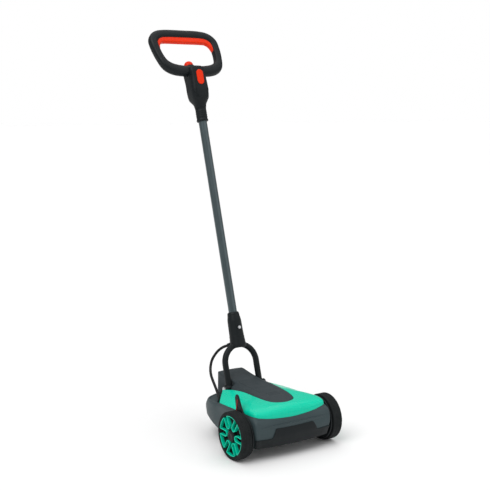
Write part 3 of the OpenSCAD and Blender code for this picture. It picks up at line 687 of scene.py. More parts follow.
def rod(centre, axis, radius, length):
    z = Vector(axis).normalized()
    x = z.orthogonal().normalized()
    at = place(Vector(centre), x, z.cross(x), z)
    return plate("rod", [polar(radius, a) for a in around(48)], -length / 2, length / 2, at)


BUMPER_LOW = 0.02
BUMPER_SIDE = 0.72
BUMPER_PEAK = 1.55


def deck_level(h):
    pair = (SKIRT_LINE, BELT_LINE) if h < 1 else (BELT_LINE, CHEEK_LINE)
    t = h if h < 1 else h - 1
    return [mix(a, b, t) for a, b in zip(*pair)]


def bumper_row(h, out):
    """Right half of one level of the bumper, as far as just behind the front corner."""
    row = half_curve(deck_level(h), DECK_STEPS)[: 3 * DECK_STEPS + 1]
    push = lambda p: Vector((0.7 * clamp(p.x / 0.11), clamp((p.y - AXLE.y - 0.14) / 0.06, -1, 0), 0))
    return [p + push(p) * out for p in row]


def climbed(side, belt, peak, h):
    """A point at level h on the deck's surface, from the points at its side, belt and peak levels."""
    if h < 1:
        return mix(side, belt, (h - BUMPER_SIDE) / (1 - BUMPER_SIDE))
    return mix(belt, peak, (h - 1) / (BUMPER_PEAK - 1))


def build_bumper():
    """A black band round the deck's lower front that steps up in the middle."""
    levels = (BUMPER_LOW, 0.4, BUMPER_SIDE, 1.0, BUMPER_PEAK)
    inner = [bumper_row(h, 0.0006) for h in levels]
    outer = [bumper_row(h, 0.0029) for h in levels]
    ribs = []
    for t in spaced(0, 3 * DECK_STEPS, 9 * DECK_STEPS):
        back = [between(row, t) for row in inner]
        face = [between(row, t) for row in outer]
        h = mix(BUMPER_SIDE, BUMPER_PEAK, smooth((0.075 - face[2].x) / 0.015))
        up = [Vector((0, 0, 0.0002)), Vector((0, 0, 0.0004))]
        inside = back[:3] + [climbed(*back[2:], min(h, 1)) + up[0], climbed(*back[2:], h) + up[1]]
        outside = [climbed(*face[2:], h) + up[1], climbed(*face[2:], min(h, 1)) + up[0]] + face[2::-1]
        ribs.append(inside + outside)
    bumper = tidy(loft("bumper_band", both_halves(ribs)))
    dress(soften(bumper, 0.0009, angle=50), "black", "deck", "black_plastic", "front_bumper")


# ---------------------------------------------------------------- teal cover
COVER_TOP = from_axle([
    (0, -0.0255, 0.1395), (0.03, -0.015, 0.1395), (0.044, 0.009, 0.14), (0.0515, 0.045, 0.1415),
    (0.0545, 0.08, 0.142), (0.057, 0.112, 0.141), (0.066, 0.148, 0.138), (0.075, 0.184, 0.131),
])
COVER_STEPS = 14
COVER_RISE = 22


def fullness(y):
    return 0.3 + 0.7 * clamp((0.035 - (y - AXLE.y)) / 0.06)


def shoulder(o, i, t):
    """Section of the cover from the rim o to the lid's edge i."""
    a = math.pi / 2 * t
    f = fullness(o.y)
    out = mix(t, 1 - math.cos(a), f)
    up = mix(t, math.sin(a) ** 0.6, f)
    return Vector((mix(o.x, i.x, out), mix(o.y, i.y, out), mix(o.z, i.z, up)))


def inward(p, d):
    x = p.x - d * clamp(p.x / 0.06)
    return Vector((x, p.y + (d if p.y < AXLE.y else 0), p.z))


def build_cover():
    rims = open_half(RIM_LINE[:8], COVER_STEPS)
    tops = open_half(COVER_TOP, COVER_STEPS)
    step = Vector((0, 0, 0.0005))
    levels = [(k / COVER_RISE) ** 1.35 for k in range(COVER_RISE + 1)]
    ribs = []
    for o, i in zip(rims, tops):
        over = [shoulder(o + step, i, t) for t in levels]
        under = [shoulder(inward(o, WALL) + step, i - Vector((0, 0, WALL)), t) for t in reversed(levels)]
        ribs.append(over + under)
    shell = soften(tidy(loft("shoulder_shell", both_halves(ribs))), 0.0012)
    walls = [end_wall(rims, tops, levels, side) for side in (1, -1)]
    cover = join("shoulder_shell", [apply_modifiers(shell)] + walls)
    dress(cover, "teal", "deck", "teal_plastic", "shoulder_cover")


FOOT_Z = PLATE_Z + 0.0006
FOOT_X = 0.0815
FOOT_SPREAD = 0.6
FOOT_STEPS = 1.5


def end_wall(rims, tops, levels, side):
    """Upright wall from the cover's rear edge down to the deck's plate."""
    last = len(rims) - 1
    rows = []
    for t in (last - FOOT_STEPS, last - 0.1):
        rim, top = between(rims, t), between(tops, t)
        under = [shoulder(inward(rim, WALL), top - Vector((0, 0, WALL * 0.6)), k) for k in levels[2:]]
        foot = [Vector((FOOT_X + FOOT_SPREAD * (p.x - tops[-1].x), p.y, FOOT_Z)) for p in reversed(under)]
        rows.append(under + foot)
    if side < 0:
        rows = [[flip(p) for p in row] for row in reversed(rows)]
    return apply_modifiers(soften(tidy(loft("end_wall", rows)), 0.0004, 2, 50))


# ---------------------------------------------------------------- lid
LID_EDGE = from_axle([
    (0, -0.0245, 0.136), (0.029, -0.0143, 0.136), (0.043, 0.009, 0.1365), (0.0505, 0.045, 0.138),
    (0.0535, 0.08, 0.1385), (0.056, 0.112, 0.1375), (0.063, 0.145, 0.134), (0.062, 0.162, 0.122),
    (0.056, 0.17, 0.0985), (0.0425, 0.173, 0.0985), (0.043, 0.22, 0.0985), (0.044, 0.262, 0.0985),
    (0.034, 0.2685, 0.0985), (0, 0.269, 0.0985),
])
LID_SHOULDER = from_axle([
    (0, -0.024, 0.1394), (0.0286, -0.0138, 0.1395), (0.0425, 0.009, 0.14), (0.05, 0.045, 0.1414),
    (0.053, 0.08, 0.142), (0.0555, 0.112, 0.141), (0.0615, 0.145, 0.1385), (0.0605, 0.161, 0.137),
    (0.055, 0.169, 0.136), (0.0425, 0.173, 0.138), (0.0425, 0.22, 0.14), (0.043, 0.262, 0.142),
    (0.034, 0.2683, 0.143), (0, 0.2688, 0.143),
])
LID_UPPER = from_axle([
    (0, -0.019, 0.1407), (0.026, -0.01, 0.141), (0.0385, 0.011, 0.142), (0.045, 0.045, 0.1442),
    (0.047, 0.08, 0.146), (0.048, 0.112, 0.1464), (0.05, 0.145, 0.1456), (0.049, 0.16, 0.1454),
    (0.046, 0.168, 0.146), (0.0423, 0.1735, 0.149), (0.0423, 0.22, 0.1535), (0.0425, 0.262, 0.158),
    (0.034, 0.2675, 0.1585), (0, 0.2683, 0.159),
])
LID_CREST = from_axle([
    (0, -0.012, 0.1413), (0.021, -0.005, 0.1417), (0.03, 0.014, 0.1432), (0.035, 0.045, 0.146),
    (0.036, 0.08, 0.1484), (0.037, 0.112, 0.1493), (0.0385, 0.145, 0.15), (0.039, 0.162, 0.151),
    (0.039, 0.17, 0.152), (0.039, 0.176, 0.1526), (0.039, 0.22, 0.156), (0.039, 0.258, 0.16),
    (0.032, 0.264, 0.1607), (0, 0.265, 0.161),
])


LID_STEPS = 8
CROWN_RINGS = 6
CROWN_RISE = 0.0008


def crown(ring):
    """Rings that close a top outline towards its spine, swelling by a little."""
    made = []
    for k in range(1, CROWN_RINGS):
        t = k / CROWN_RINGS
        lift = Vector((0, 0, CROWN_RISE * (1 - (1 - t) ** 2)))
        made.append([Vector((p.x * (1 - t), p.y, p.z)) + lift * clamp(abs(p.x) / 0.03) for p in ring])
    return made


def build_lid():
    outer = rows_between([LID_EDGE, LID_SHOULDER, LID_UPPER, LID_CREST], LID_STEPS, 4)
    inner_lines = [lifted(shrunk(LID_CREST, WALL), -WALL), lifted(shrunk(LID_UPPER, 2 * WALL), -WALL)]
    inner_lines += [lifted(shrunk(LID_SHOULDER, 2 * WALL), -WALL), shrunk(LID_EDGE, 2 * WALL)]
    inner = [ring_of(line, LID_STEPS) for line in inner_lines]
    lid = strip_capped("lid_shell", inner + outer + crown(outer[-1]))
    y = AXLE.y + 0.262
    lid = cut(lid, box_solid((0, y, 0.121), (0.0772, 0.030, 0.048)))
    dress(soften(lid, 0.0010, angle=40), "lid", "deck", "grey_plastic", "top_lid")


def build_lid_details():
    """Three raised bars across the lid's nose and a long one down each side."""
    parts = []
    for k in range(3):
        y = AXLE.y + 0.030 + 0.008 * k
        parts.append(ridge((-0.018, y), (0.018, y), 0.0008, lid_height))
    for side in (-1, 1):
        start, end = (side * 0.030, AXLE.y + 0.060), (side * 0.0325, AXLE.y + 0.165)
        parts.append(ridge(start, end, 0.0007, lid_height))
    dress(join("lid_bars", parts), "lid", "deck", "grey_plastic")


def lid_height(x, y):
    """Height of the crest at a place near the lid's middle line."""
    spine = half_curve(LID_CREST, LID_STEPS)
    near = min(spine, key=lambda p: abs(p.y - y) + (1 if p.x < 0.004 and 0 < p.y - LID_CREST[0].y else 0))
    swell = CROWN_RISE * (1 - (abs(x) / max(near.x, 0.02)) ** 2)
    return near.z + max(swell, 0)


def ridge(a, b, radius, height):
    """A half-sunk round bar that follows a surface from a to b."""
    path = []
    for k in range(13):
        x, y = mix(a[0], b[0], k / 12), mix(a[1], b[1], k / 12)
        path.append(Vector((x, y, height(x, y) - 0.0001)))
    return tube("ridge", path, radius, 10)


# ---------------------------------------------------------------- fork and tube
LEG_X = 0.0525
ARCH_S = 0.069
EYE_R = 0.0052
TUBE_FROM, TUBE_TO = 0.150, 0.872
COLLAR_FROM, COLLAR_TO = 0.794, 0.834


def build_fork():
    """Arch, socket and pivot bosses, melted into one moulding."""
    section = rounded_outline(0.0165, 0.017, 0.0065, 5)
    leg = [(LEG_X, 0, s * 0.005) for s in range(14)]
    bow = [(LEG_X * math.cos(a), 0, ARCH_S + LEG_X * math.sin(a)) for a in angles(0, 180, 48)]
    path = [on_shaft(p) for p in leg + bow + [(-x, y, z) for x, y, z in reversed(leg)]]
    arch = sweep("arch", path, section, SHAFT_BACK)
    profile = [(0, 0.112), (0.0225, 0.112), (0.0238, 0.118), (0.0228, 0.130), (0.0214, 0.147)]
    profile += [(0.0208, 0.170), (0.0203, 0.192), (0.0180, 0.206), (0.0163, 0.2150), (0.0150, 0.2168)]
    socket = lathe("socket", profile + [(0, 0.2168)], on_shaft, 72)
    bosses, eyes = (
        [rod(on_shaft((side * LEG_X, 0, 0)), ACROSS, radius, length) for side in (-1, 1)]
        for radius, length in ((0.011, 0.0165), (EYE_R, 0.03))
    )
    fork = cut(fuse(join("fork_frame", [arch, socket] + bosses), 0.0011, 5), *eyes)
    dress(fork, "black", "handle", "black_plastic", "fork")
    build_socket_trim()


def build_socket_trim():
    """Raised rings at the socket's mouth and foot."""
    mouth = [(0.0126, 0.2085), (0.0172, 0.2085), (0.0177, 0.2095), (0.0174, 0.2125), (0.0158, 0.2150)]
    mouth += [(0.0126, 0.2155)]
    foot = [(0.0180, 0.1425), (0.0217, 0.1425), (0.0223, 0.1440), (0.0219, 0.1460), (0.0180, 0.1460)]
    rings = [lathe("mouth", mouth, on_shaft), lathe("foot", foot, on_shaft)]
    dress(soften(join("socket_rings", rings), 0.0004), "black", "handle", "black_plastic")


def build_collar():
    """Ribbed sleeve where the tube enters the stem."""
    length = COLLAR_TO - COLLAR_FROM
    outer = [(0.0158, 0), (0.0170, 0.0006), (0.0175, 0.002), (0.0175, 0.005), (0.0162, 0.007)]
    for k in range(4):
        h = 0.0120 + 0.0055 * k
        outer += [(0.0163, h), (0.0169, h + 0.0008), (0.0169, h + 0.0022), (0.0163, h + 0.003)]
    profile = [(TUBE_R, 0)] + outer + [(0.0166, length), (TUBE_R, length)]
    collar = lathe("collar_sleeve", [(r, h + COLLAR_FROM) for r, h in profile], on_shaft)
    dress(collar, "black", "handle", "black_plastic", "upper_collar")


def build_tube():
    """Bare handle tube with rolled ends."""
    outside = [(TUBE_R, h) for h in spaced(TUBE_FROM + 0.001, TUBE_TO - 0.001, 40)]
    outside = [(TUBE_R - 0.0006, TUBE_FROM)] + outside + [(TUBE_R - 0.0006, TUBE_TO)]
    inside = [(TUBE_R - 0.002, TUBE_TO), (TUBE_R - 0.002, TUBE_FROM)]
    dress(lathe("handle_pipe", outside + inside, on_shaft), "tube", "handle", "coated_tube", "handle_tube")


# ---------------------------------------------------------------- stem, grip loop, buttons
# Sections up the tube: height, half width, half depth, squareness, set back
STEM_SECTIONS = [
    (0.834, 0.017, 0.017, 2, 0), (0.846, 0.019, 0.0185, 2.2, 0), (0.856, 0.0235, 0.023, 2.8, 0.0005),
    (0.866, 0.027, 0.027, 3.4, 0.001), (0.888, 0.028, 0.0293, 3.8, 0.0013),
    (0.912, 0.027, 0.03, 3.8, 0.0025), (0.93, 0.0263, 0.0315, 3.8, 0.005),
]
STEM_TOP_V = 0.024
DOME_N = 0.0165
DOME_R = 0.014
DOME_BASE = 0.042
BUTTON_S = 0.925


def squircle(w, d, n):
    """Points round a rounded square; the higher n, the squarer."""
    count = 96
    made = []
    for i in range(count):
        a = -math.pi / 2 + 2 * math.pi * (i + 0.5) / count
        c, s = math.cos(a), math.sin(a)
        made.append((w * math.copysign(abs(c) ** (2 / n), c), d * math.copysign(abs(s) ** (2 / n), s)))
    return made


def build_stem():
    rings = [[Vector((x, y + back, h)) for x, y in squircle(w, d, n)] for h, w, d, n, back in STEM_SECTIONS]
    columns = [curve(column, 5) for column in zip(*rings)]
    rows = [[on_shaft(p) for p in row] for row in zip(*columns)]
    for drop, w, d in ((0.006, 0.0262, 0.0316), (0.0015, 0.0256, 0.0308), (0, 0.0236, 0.0290)):
        rows.append([on_loop((x, y + 0.0065, STEM_TOP_V - drop)) for x, y in squircle(w, d, 3.6)])
    body = tidy(loft("stem", rows))
    at = place(on_loop((0, DOME_N, 0)), ACROSS, GRIP_BACK, GRIP_UP)
    r = DOME_R
    tower = [(0, -0.004), (r + 0.003, -0.004), (r + 0.0024, 0.030), (r + 0.0024, 0.0350), (0, 0.0350)]
    stem = fuse(join("stem_body", [body, lathe("tower", tower, at, 72)]), 0.0010, 6)
    pocket = plate("pocket", stadium(0.0114, 0.0468), 0.0125, 0.05, front_of_stem())
    stem = cut(stem, pocket)
    lip = [(r + 0.0005, 0.0325), (r + 0.0029, 0.0325), (r + 0.0029, 0.0452), (r + 0.0023, 0.0462)]
    lip += [(r + 0.0012, 0.0465), (r + 0.0005, 0.0460), (r + 0.0005, 0.0325)]
    stem = join("stem_body", [apply_modifiers(stem), lathe("lip", lip, at, 96)])
    dress(stem, "black", "handle", "black_plastic", "stem_housing")
    build_stem_plate()


def stem_row(s):
    """Half width, half depth, squareness and set back of the stem at a height up the tube."""
    rows = STEM_SECTIONS
    k = max(i for i in range(len(rows) - 1) if rows[i][0] <= s or i == 0)
    t = (s - rows[k][0]) / (rows[k + 1][0] - rows[k][0])
    return [mix(a, b, t) for a, b in zip(rows[k][1:], rows[k + 1][1:])]


def build_stem_plate():
    """Thin front cover on the stem, pointed at its foot, with the lock button in it."""
    rows = []
    for s in spaced(0.862, 0.946, 28):
        w, d, n, back = stem_row(min(s, 0.9299))
        spread = math.radians(6 + 48 * smooth((s - 0.858) / 0.034))
        face = []
        for a in spaced(-spread, spread, 20):
            c, q = math.sin(a), -math.cos(a)
            face.append((w * math.copysign(abs(c) ** (2 / n), c), -d * abs(q) ** (2 / n) + back))
        out = [on_shaft((x * 1.015, y - 0.0007, s)) for x, y in face]
        deep = [on_shaft((x * 0.985, y + 0.0016, s)) for x, y in reversed(face)]
        rows.append(out + deep)
    cover = tidy(loft("stem_plate", rows, folded=True))
    cover = cut(cover, plate("hole", stadium(0.0117, 0.0474), 0.0125, 0.05, front_of_stem()))
    dress(soften(cover, 0.0005, 2, 50), "black", "handle", "black_plastic")


def front_of_stem():
    """Placing with x across, y up the tube and z out of the stem's front."""
    return place(on_shaft((0, 0, BUTTON_S)), ACROSS, SHAFT_UP, -SHAFT_BACK)


def stadium(r, length):
    """Points round a slot with round ends, centred on the origin."""
    steps = 20
    half = length / 2 - r
    top = [(r * math.cos(a), half + r * math.sin(a)) for a in angles(0, 180, steps)]
    foot = [(r * math.cos(a), -half + r * math.sin(a)) for a in angles(180, 360, steps)]
    return top + foot


LOOP_OUTER = [
    (0, 0.004, 0), (0.048, 0.004, 0), (0.08, 0.012, 0), (0.101, 0.031, 0), (0.112, 0.066, 0),
    (0.1175, 0.106, 0), (0.1155, 0.139, 0), (0.096, 0.1625, 0), (0.062, 0.172, 0), (0, 0.173, 0),
]
LOOP_INNER = [
    (0, 0.036, 0), (0.034, 0.036, 0), (0.066, 0.043, 0), (0.083, 0.057, 0), (0.09, 0.08, 0),
    (0.092, 0.106, 0), (0.09, 0.126, 0), (0.076, 0.1385, 0), (0.05, 0.142, 0), (0, 0.1425, 0),
]


def loop_ring(t):
    """Closed line in the loop's plane, t from 0 on its outer edge to 1 on its inner edge."""
    line = [mix(Vector(a), Vector(b), t) for a, b in zip(LOOP_OUTER, LOOP_INNER)]
    return whole_ring(half_curve(line, 9))


def loop_section(outer, inner, a, depth):
    """Point of the grip's rounded section at angle a; 0 is the outer edge and 90 the front."""
    middle, half = (outer + inner) / 2, (outer - inner) / 2
    c, s = math.cos(a), math.sin(a)
    reach = math.copysign(abs(c) ** 0.78, c)
    rise = math.copysign(abs(s) ** 0.78, s)
    flat = middle + half * reach
    return Vector((flat[0], -depth * rise, flat[1]))


def build_grip():
    """Two soft-edged shells that meet at a fine seam."""
    outer, inner = loop_ring(0), loop_ring(1)
    depth = GRIP_T / 2
    for name, start, node in (("grip_front", 0, "grip_front_shell"), ("grip_rear", 180, "grip_rear_shell")):
        rings = []
        for o, i in zip(outer, inner):
            a_list = angles(start, start + 180, 22)
            ring = [loop_section(o, i, a, depth) for a in a_list]
            gap = -0.00018 if start == 0 else 0.00018
            seam = [mix(ring[-1], ring[0], t) for t in (0.06, 0.94)]
            shut = [Vector((p.x, gap, p.z)) for p in seam]
            ring[0].y = ring[-1].y = gap
            rings.append([on_loop(p) for p in ring + shut])
        shell = tidy(loft(name, rings, closed_rows=True))
        dress(soften(shell, 0.0004, 2, 50), "soft", "handle", "black_plastic", node)


def build_grip_screws():
    """Screw heads with a cross recess, sunk in the grip's front."""
    parts = []
    for side in (-1, 1):
        for x, v in ((0.094, 0.046), (0.105, 0.126), (0.068, 0.025)):
            at = place(on_loop((side * x, -0.0102, v)), ACROSS, GRIP_UP, -GRIP_BACK)
            profile = [(0, 0), (0.0031, 0), (0.0031, 0.0012), (0.0024, 0.0020), (0, 0.0022)]
            head = lathe("head", profile, at, 32)
            slots = [plate("slot", rounded_outline(0.0009, 0.0036, 0.0003, 2), 0.0010, 0.004, at)]
            slots.append(plate("slot", rounded_outline(0.0036, 0.0009, 0.0003, 2), 0.0010, 0.004, at))
            parts.append(cut(head, *slots))
    dress(join("grip_screw_heads", parts), "steel", "handle", "steel", "grip_screws")


TRIGGER_EDGE = [
    (0, 0.1265, 0), (0.06, 0.1265, 0), (0.077, 0.124, 0), (0.086, 0.1145, 0), (0.091, 0.099, 0),
    (0.0955, 0.084, 0), (0.0985, 0.086, 0), (0.101, 0.106, 0), (0.1, 0.126, 0), (0.09, 0.143, 0),
    (0.068, 0.1505, 0), (0, 0.151, 0),
]


TRIGGER_DEEP = 0.0074
TIP_CUT = 4
TIP_TAPER = 7


def build_trigger():
    """Rounded paddle between its free edge and the edge inside the grip."""
    half = len(TRIGGER_EDGE) // 2
    free = open_half([Vector(p) for p in TRIGGER_EDGE[:half]], 9)
    hidden = open_half([Vector(p) for p in reversed(TRIGGER_EDGE[half:])], 9)
    pairs = list(zip(free, hidden))[:-TIP_CUT]
    sections = []
    for k, (low, high) in enumerate(pairs):
        near_tip = clamp((k - len(pairs) + TIP_TAPER + 1) / TIP_TAPER)
        full = math.sqrt(1.02 - near_tip ** 2)
        middle, reach = (low + high) / 2, (low - high) / 2 * full
        ring = []
        for a in angles(0, 345, 23):
            side = math.copysign(abs(math.cos(a)) ** 0.45, math.cos(a))
            deep = math.copysign(abs(math.sin(a)) ** 0.45, math.sin(a))
            flat = middle + reach * side
            ring.append(Vector((flat.x, -TRIGGER_DEEP * full * deep, flat.y)))
        sections.append(ring)
    rings = [[on_loop(p) for p in ring] for ring in both_halves(sections)]
    bar = tidy(loft("trigger_paddle", rings))
    dress(soften(bar, 0.0012, 3, 50), "orange", "trigger", "orange_plastic", "trigger_bar")


def build_buttons():
    lock = plate("lock_pad", stadium(0.011, 0.046), 0.020, 0.0294, front_of_stem())
    dress(soften(lock, 0.0022, 5, 50), "orange", "lock", "orange_plastic", "lock_button")
    at = place(on_loop((0, DOME_N, DOME_BASE)), ACROSS, GRIP_BACK, GRIP_UP)
    dome = [(0, 0), (DOME_R - 0.0006, 0), (DOME_R, 0.0006), (DOME_R, 0.011)]
    dome += [(DOME_R * math.cos(a), 0.012 + 0.013 * math.sin(a)) for a in angles(0, 84, 14)]
    dome += [(0.0008, 0.0250), (0, 0.0250)]
    dress(lathe("start_dome", dome, at), "orange", "starter", "orange_plastic", "start_button")


# ---------------------------------------------------------------- springs
def coil(name, at, radius, wire, length, turns):
    """Wound spring with flat end coils, along the placing's z."""
    path = []
    steps = int(turns * 20)
    for k in range(steps + 1):
        t = k / steps
        a = 2 * math.pi * turns * t
        lead = smooth((t - 0.08) / 0.84)
        path.append(at(Vector((*polar(radius, a), wire + (length - 2 * wire) * lead))))
    return tube(name, path, wire, 8)


def build_springs():
    up = lambda x, n, v: place(on_loop((x, n, v)), ACROSS, GRIP_BACK, GRIP_UP)
    pair = [coil("spring", up(s * 0.044, 0, 0.152), 0.0026, 0.0004, 0.016, 9) for s in (-1, 1)]
    springs = join("trigger_coils", pair)
    dress(springs, "spring", "handle", "steel", "trigger_springs")
    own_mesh(springs)
    starter = coil("start_coil", up(0, DOME_N + 0.0075, 0.0185), 0.0032, 0.0004, 0.0233, 11)
    dress(starter, "spring", "handle", "steel", "start_spring")
    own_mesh(starter)
    at = place(on_shaft((0, -0.0199, BUTTON_S - 0.008)), ACROSS, -SHAFT_UP, SHAFT_BACK)
    lock = coil("lock_coil", at, 0.0036, 0.0004, 0.0070, 4)
    dress(lock, "spring", "handle", "steel", "lock_spring")
    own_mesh(lock)
    low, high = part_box("latch_spring")
    foot = Vector(((low.x + high.x) / 2, low.y, (low.z + high.z) / 2))
    at = place(foot, ACROSS, Vector((0, 0, -1)), Vector((0, 1, 0)))
    latch = coil("latch_coil", at, 0.0026, 0.0003, high.y - low.y, 3)
    dress(latch, "spring", "battery", "steel", "latch_spring")
    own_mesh(latch)


# ---------------------------------------------------------------- cable
CABLE_R = 0.004
CABLE_ROUTE = [
    (-0.005, -0.024, 0.2455), (-0.011, -0.0155, 0.243), (-0.017, -0.007, 0.2405), (-0.024, 0.002, 0.237),
    (-0.032, 0.01, 0.231), (-0.04, 0.017, 0.222), (-0.048, 0.022, 0.21), (-0.056, 0.0245, 0.196),
    (-0.063, 0.021, 0.181), (-0.07, 0.011, 0.168), (-0.077, -0.006, 0.156), (-0.083, -0.028, 0.145),
    (-0.088, -0.05, 0.133), (-0.092, -0.068, 0.121), (-0.094, -0.079, 0.11), (-0.094, -0.0824, 0.101),
]


def build_cable():
    path = curve(CABLE_ROUTE, 2)
    cable = paint(tube("cable_run", path, CABLE_R, 20), FINISH["cable"])
    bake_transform(cable)
    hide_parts("control_cable")


# ---------------------------------------------------------------- wheels
TRIM_R = 0.055
RIM_R = 0.052


def wheel_place(side):
    """z points out of the wheel's outer face; height 0 is the tyre's inner face."""
    z = ACROSS * side
    y = Vector((0, 0, 1))
    return place(AXLE + z * TYRE_IN, y.cross(z), y, z)


def tyre_profile():
    w = TYRE_W
    r = WHEEL_R
    side = [(RIM_R, 0.0010), (RIM_R + 0.004, 0.0002), (RIM_R + 0.0062, 0.0), (RIM_R + 0.0080, 0.0010)]
    turn = angles(0, 90, 6)
    shoulder_low = [(r - 0.0026 * (1 - math.sin(a)), 0.0042 - 0.0032 * math.cos(a)) for a in turn]
    crown_line = [(r, h) for h in spaced(0.0050, w - 0.0050, 30)]
    shoulder_high = [(r - 0.0026 * (1 - math.cos(a)), w - 0.0042 + 0.0032 * math.sin(a)) for a in turn]
    face = [(r - 0.0045, w - 0.0004), (r - 0.0075, w), (TRIM_R + 0.0006, w - 0.0003), (TRIM_R, w - 0.0010)]
    back = [(TRIM_R, w - 0.011), (RIM_R, w - 0.011)]
    return side + shoulder_low + crown_line + shoulder_high + face + back


def tread_depth(turn, height):
    """How far the tread is cut in: two grooves round it and a fine row of slanted lugs."""
    w = TYRE_W
    groove = max(0.0, 1 - abs(abs(height - w / 2) - 0.0048) / 0.0009)
    if abs(height - w / 2) > 0.0115 or 0.0 < abs(height - w / 2) < 0.0036:
        return 0.0010 * clamp(groove)
    phase = (turn * 66 + abs(height - w / 2) * 55) % 1
    lug = 1.0 if phase < 0.24 else 0.0
    return max(0.0010 * clamp(groove), 0.0007 * lug)


def build_tyre(side):
    at = wheel_place(side)
    profile = tyre_profile()
    turns = 528
    rings = []
    for k in range(turns):
        a = 2 * math.pi * k / turns
        ring = []
        for r, h in profile:
            rr = r - (tread_depth(k / turns, h) if r > WHEEL_R - 0.0002 else 0)
            ring.append(at(Vector((rr * math.cos(a), rr * math.sin(a), h))))
        rings.append(ring)
    tyre = tidy(loft(f"tyre_{hand(side)}_tread", rings, closed_rows=True))
    dress(tyre, "tyre", f"wheel_{hand(side)}", "tyre_rubber", f"tyre_{hand(side)}")


def hand(side):
    return "left" if side < 0 else "right"


def build_rim(side):
    at = wheel_place(side)
    dish = [(0.0072, 0.002), (0.0158, 0.002), (0.0158, 0.0070), (0.0200, 0.0080), (0.0470, 0.0080)]
    dish += [(0.0470, 0.0022)]
    dish += [(0.0516, 0.0022), (0.0516, 0.0190), (0.0508, 0.0195), (0.0478, 0.0195), (0.0470, 0.0180)]
    dish += [(0.0460, 0.0135), (0.0440, 0.0130), (0.0210, 0.0130), (0.0170, 0.0150), (0.0158, 0.0180)]
    dish += [(0.0158, TYRE_W - 0.0068), (0.0150, TYRE_W - 0.0060), (0.0072, TYRE_W - 0.0060)]
    parts = [soften(lathe("dish", dish, at, 120), 0.0004, 2)]
    for k in range(6):
        spin = place(Vector(), *turned(60 * k + 30))
        local = lambda p, spin=spin: at(spin(p))
        edge = [(0.014, -0.0048), (0.030, -0.0034), (0.0478, -0.0048)]
        outline = edge + [(x, -y) for x, y in reversed(edge)]
        spoke = plate("spoke", outline, 0.0120, 0.0185, local)
        parts.append(soften(spoke, 0.0014, 3))
    parts = [apply_modifiers(p) for p in parts]
    rim = join(f"wheel_rim_{hand(side)}", parts)
    dress(rim, "black", f"wheel_{hand(side)}", "black_plastic", f"rim_{hand(side)}")


def turned(degrees):
    a = math.radians(degrees)
    return Vector((math.cos(a), math.sin(a), 0)), Vector((-math.sin(a), math.cos(a), 0)), Vector((0, 0, 1))


BAND_T = 0.0026
BAND_H = 0.010
SLOT_R = 0.0064
SLOT_FROM = 0.028


def band_line(r_out, slot_r):
    """Closed outline: arcs near the tyre that dip round six slots towards the hub."""
    line = []
    mouth = math.asin(slot_r / r_out)
    for k in range(6):
        middle = math.radians(60 * k)
        arc = [middle - math.radians(60) + mouth + (math.radians(60) - 2 * mouth) * t / 16 for t in range(17)]
        line += [Vector((r_out * math.cos(a), r_out * math.sin(a), 0)) for a in arc]
        x, y, _ = turned(60 * k)
        run = spaced(r_out * math.cos(mouth), SLOT_FROM, 8)[1:]
        line += [x * d - y * slot_r for d in run]
        for a in angles(0, 180, 16)[1:-1]:
            line.append(x * (SLOT_FROM - slot_r * math.sin(a)) - y * slot_r * math.cos(a))
        line += [x * d + y * slot_r for d in reversed(run)]
    return line


def build_trim(side):
    """Deep teal band with rounded edges, open towards the tyre at its six slots."""
    at = wheel_place(side)
    middle = band_line(TRIM_R - 0.0003 - BAND_T / 2, SLOT_R + BAND_T / 2)
    section = rounded_outline(BAND_T, BAND_H, 0.0010, 3)
    path = [at(p + Vector((0, 0, TYRE_W - 0.0008 - BAND_H / 2))) for p in middle]
    trim = sweep(f"wheel_trim_{hand(side)}", path, section, ACROSS * side, closed=True)
    dress(trim, "teal", f"wheel_{hand(side)}", "teal_plastic", f"trim_{hand(side)}")


def build_hub(side):
    at = wheel_place(side)
    low = TYRE_W - 0.0058
    cap = [(0, 0), (0.0155, 0), (0.0155, 0.0026), (0.0147, 0.0036), (0.0130, 0.0045), (0.0090, 0.0054)]
    cap += [(0.0074, 0.0055), (0.0066, 0.0050), (0, 0.0050)]
    hub = lathe(f"hub_button_{hand(side)}", [(r, h + low) for r, h in cap], at, 64)
    dress(hub, "black", f"wheel_{hand(side)}", "black_plastic", f"hub_cap_{hand(side)}")


# ---------------------------------------------------------------- axle discs and height lever
DISC_X = 0.1262
DISC_T = 0.0058


def disc_place(side):
    """z points outward from the deck, x to the rear and y up, about the axle."""
    z = ACROSS * side
    return place(AXLE + z * DISC_X, Vector((0, 1, 0)), Vector((0, 0, 1)), z)


def disc_profile(hub):
    t = DISC_T
    line = [(0.0041, hub), (0.0060, hub), (0.0060, 0.0), (0.0590, 0.0), (0.0606, 0.0010), (0.0610, 0.0022)]
    line += [(0.0610, t - 0.0016), (0.0600, t - 0.0004), (0.0580, t), (0.0540, t), (0.0530, t - 0.0012)]
    line += [(0.0400, t - 0.0012), (0.0390, t), (0.0140, t), (0.0120, t - 0.0010), (0.0041, t - 0.0010)]
    return line


def build_arch_disc():
    disc = lathe("arch_plate", disc_profile(-0.0039), disc_place(1), 128)
    dress(soften(disc, 0.0003, 2), "black", "axle_unit", "black_plastic", "arch_disc_right")


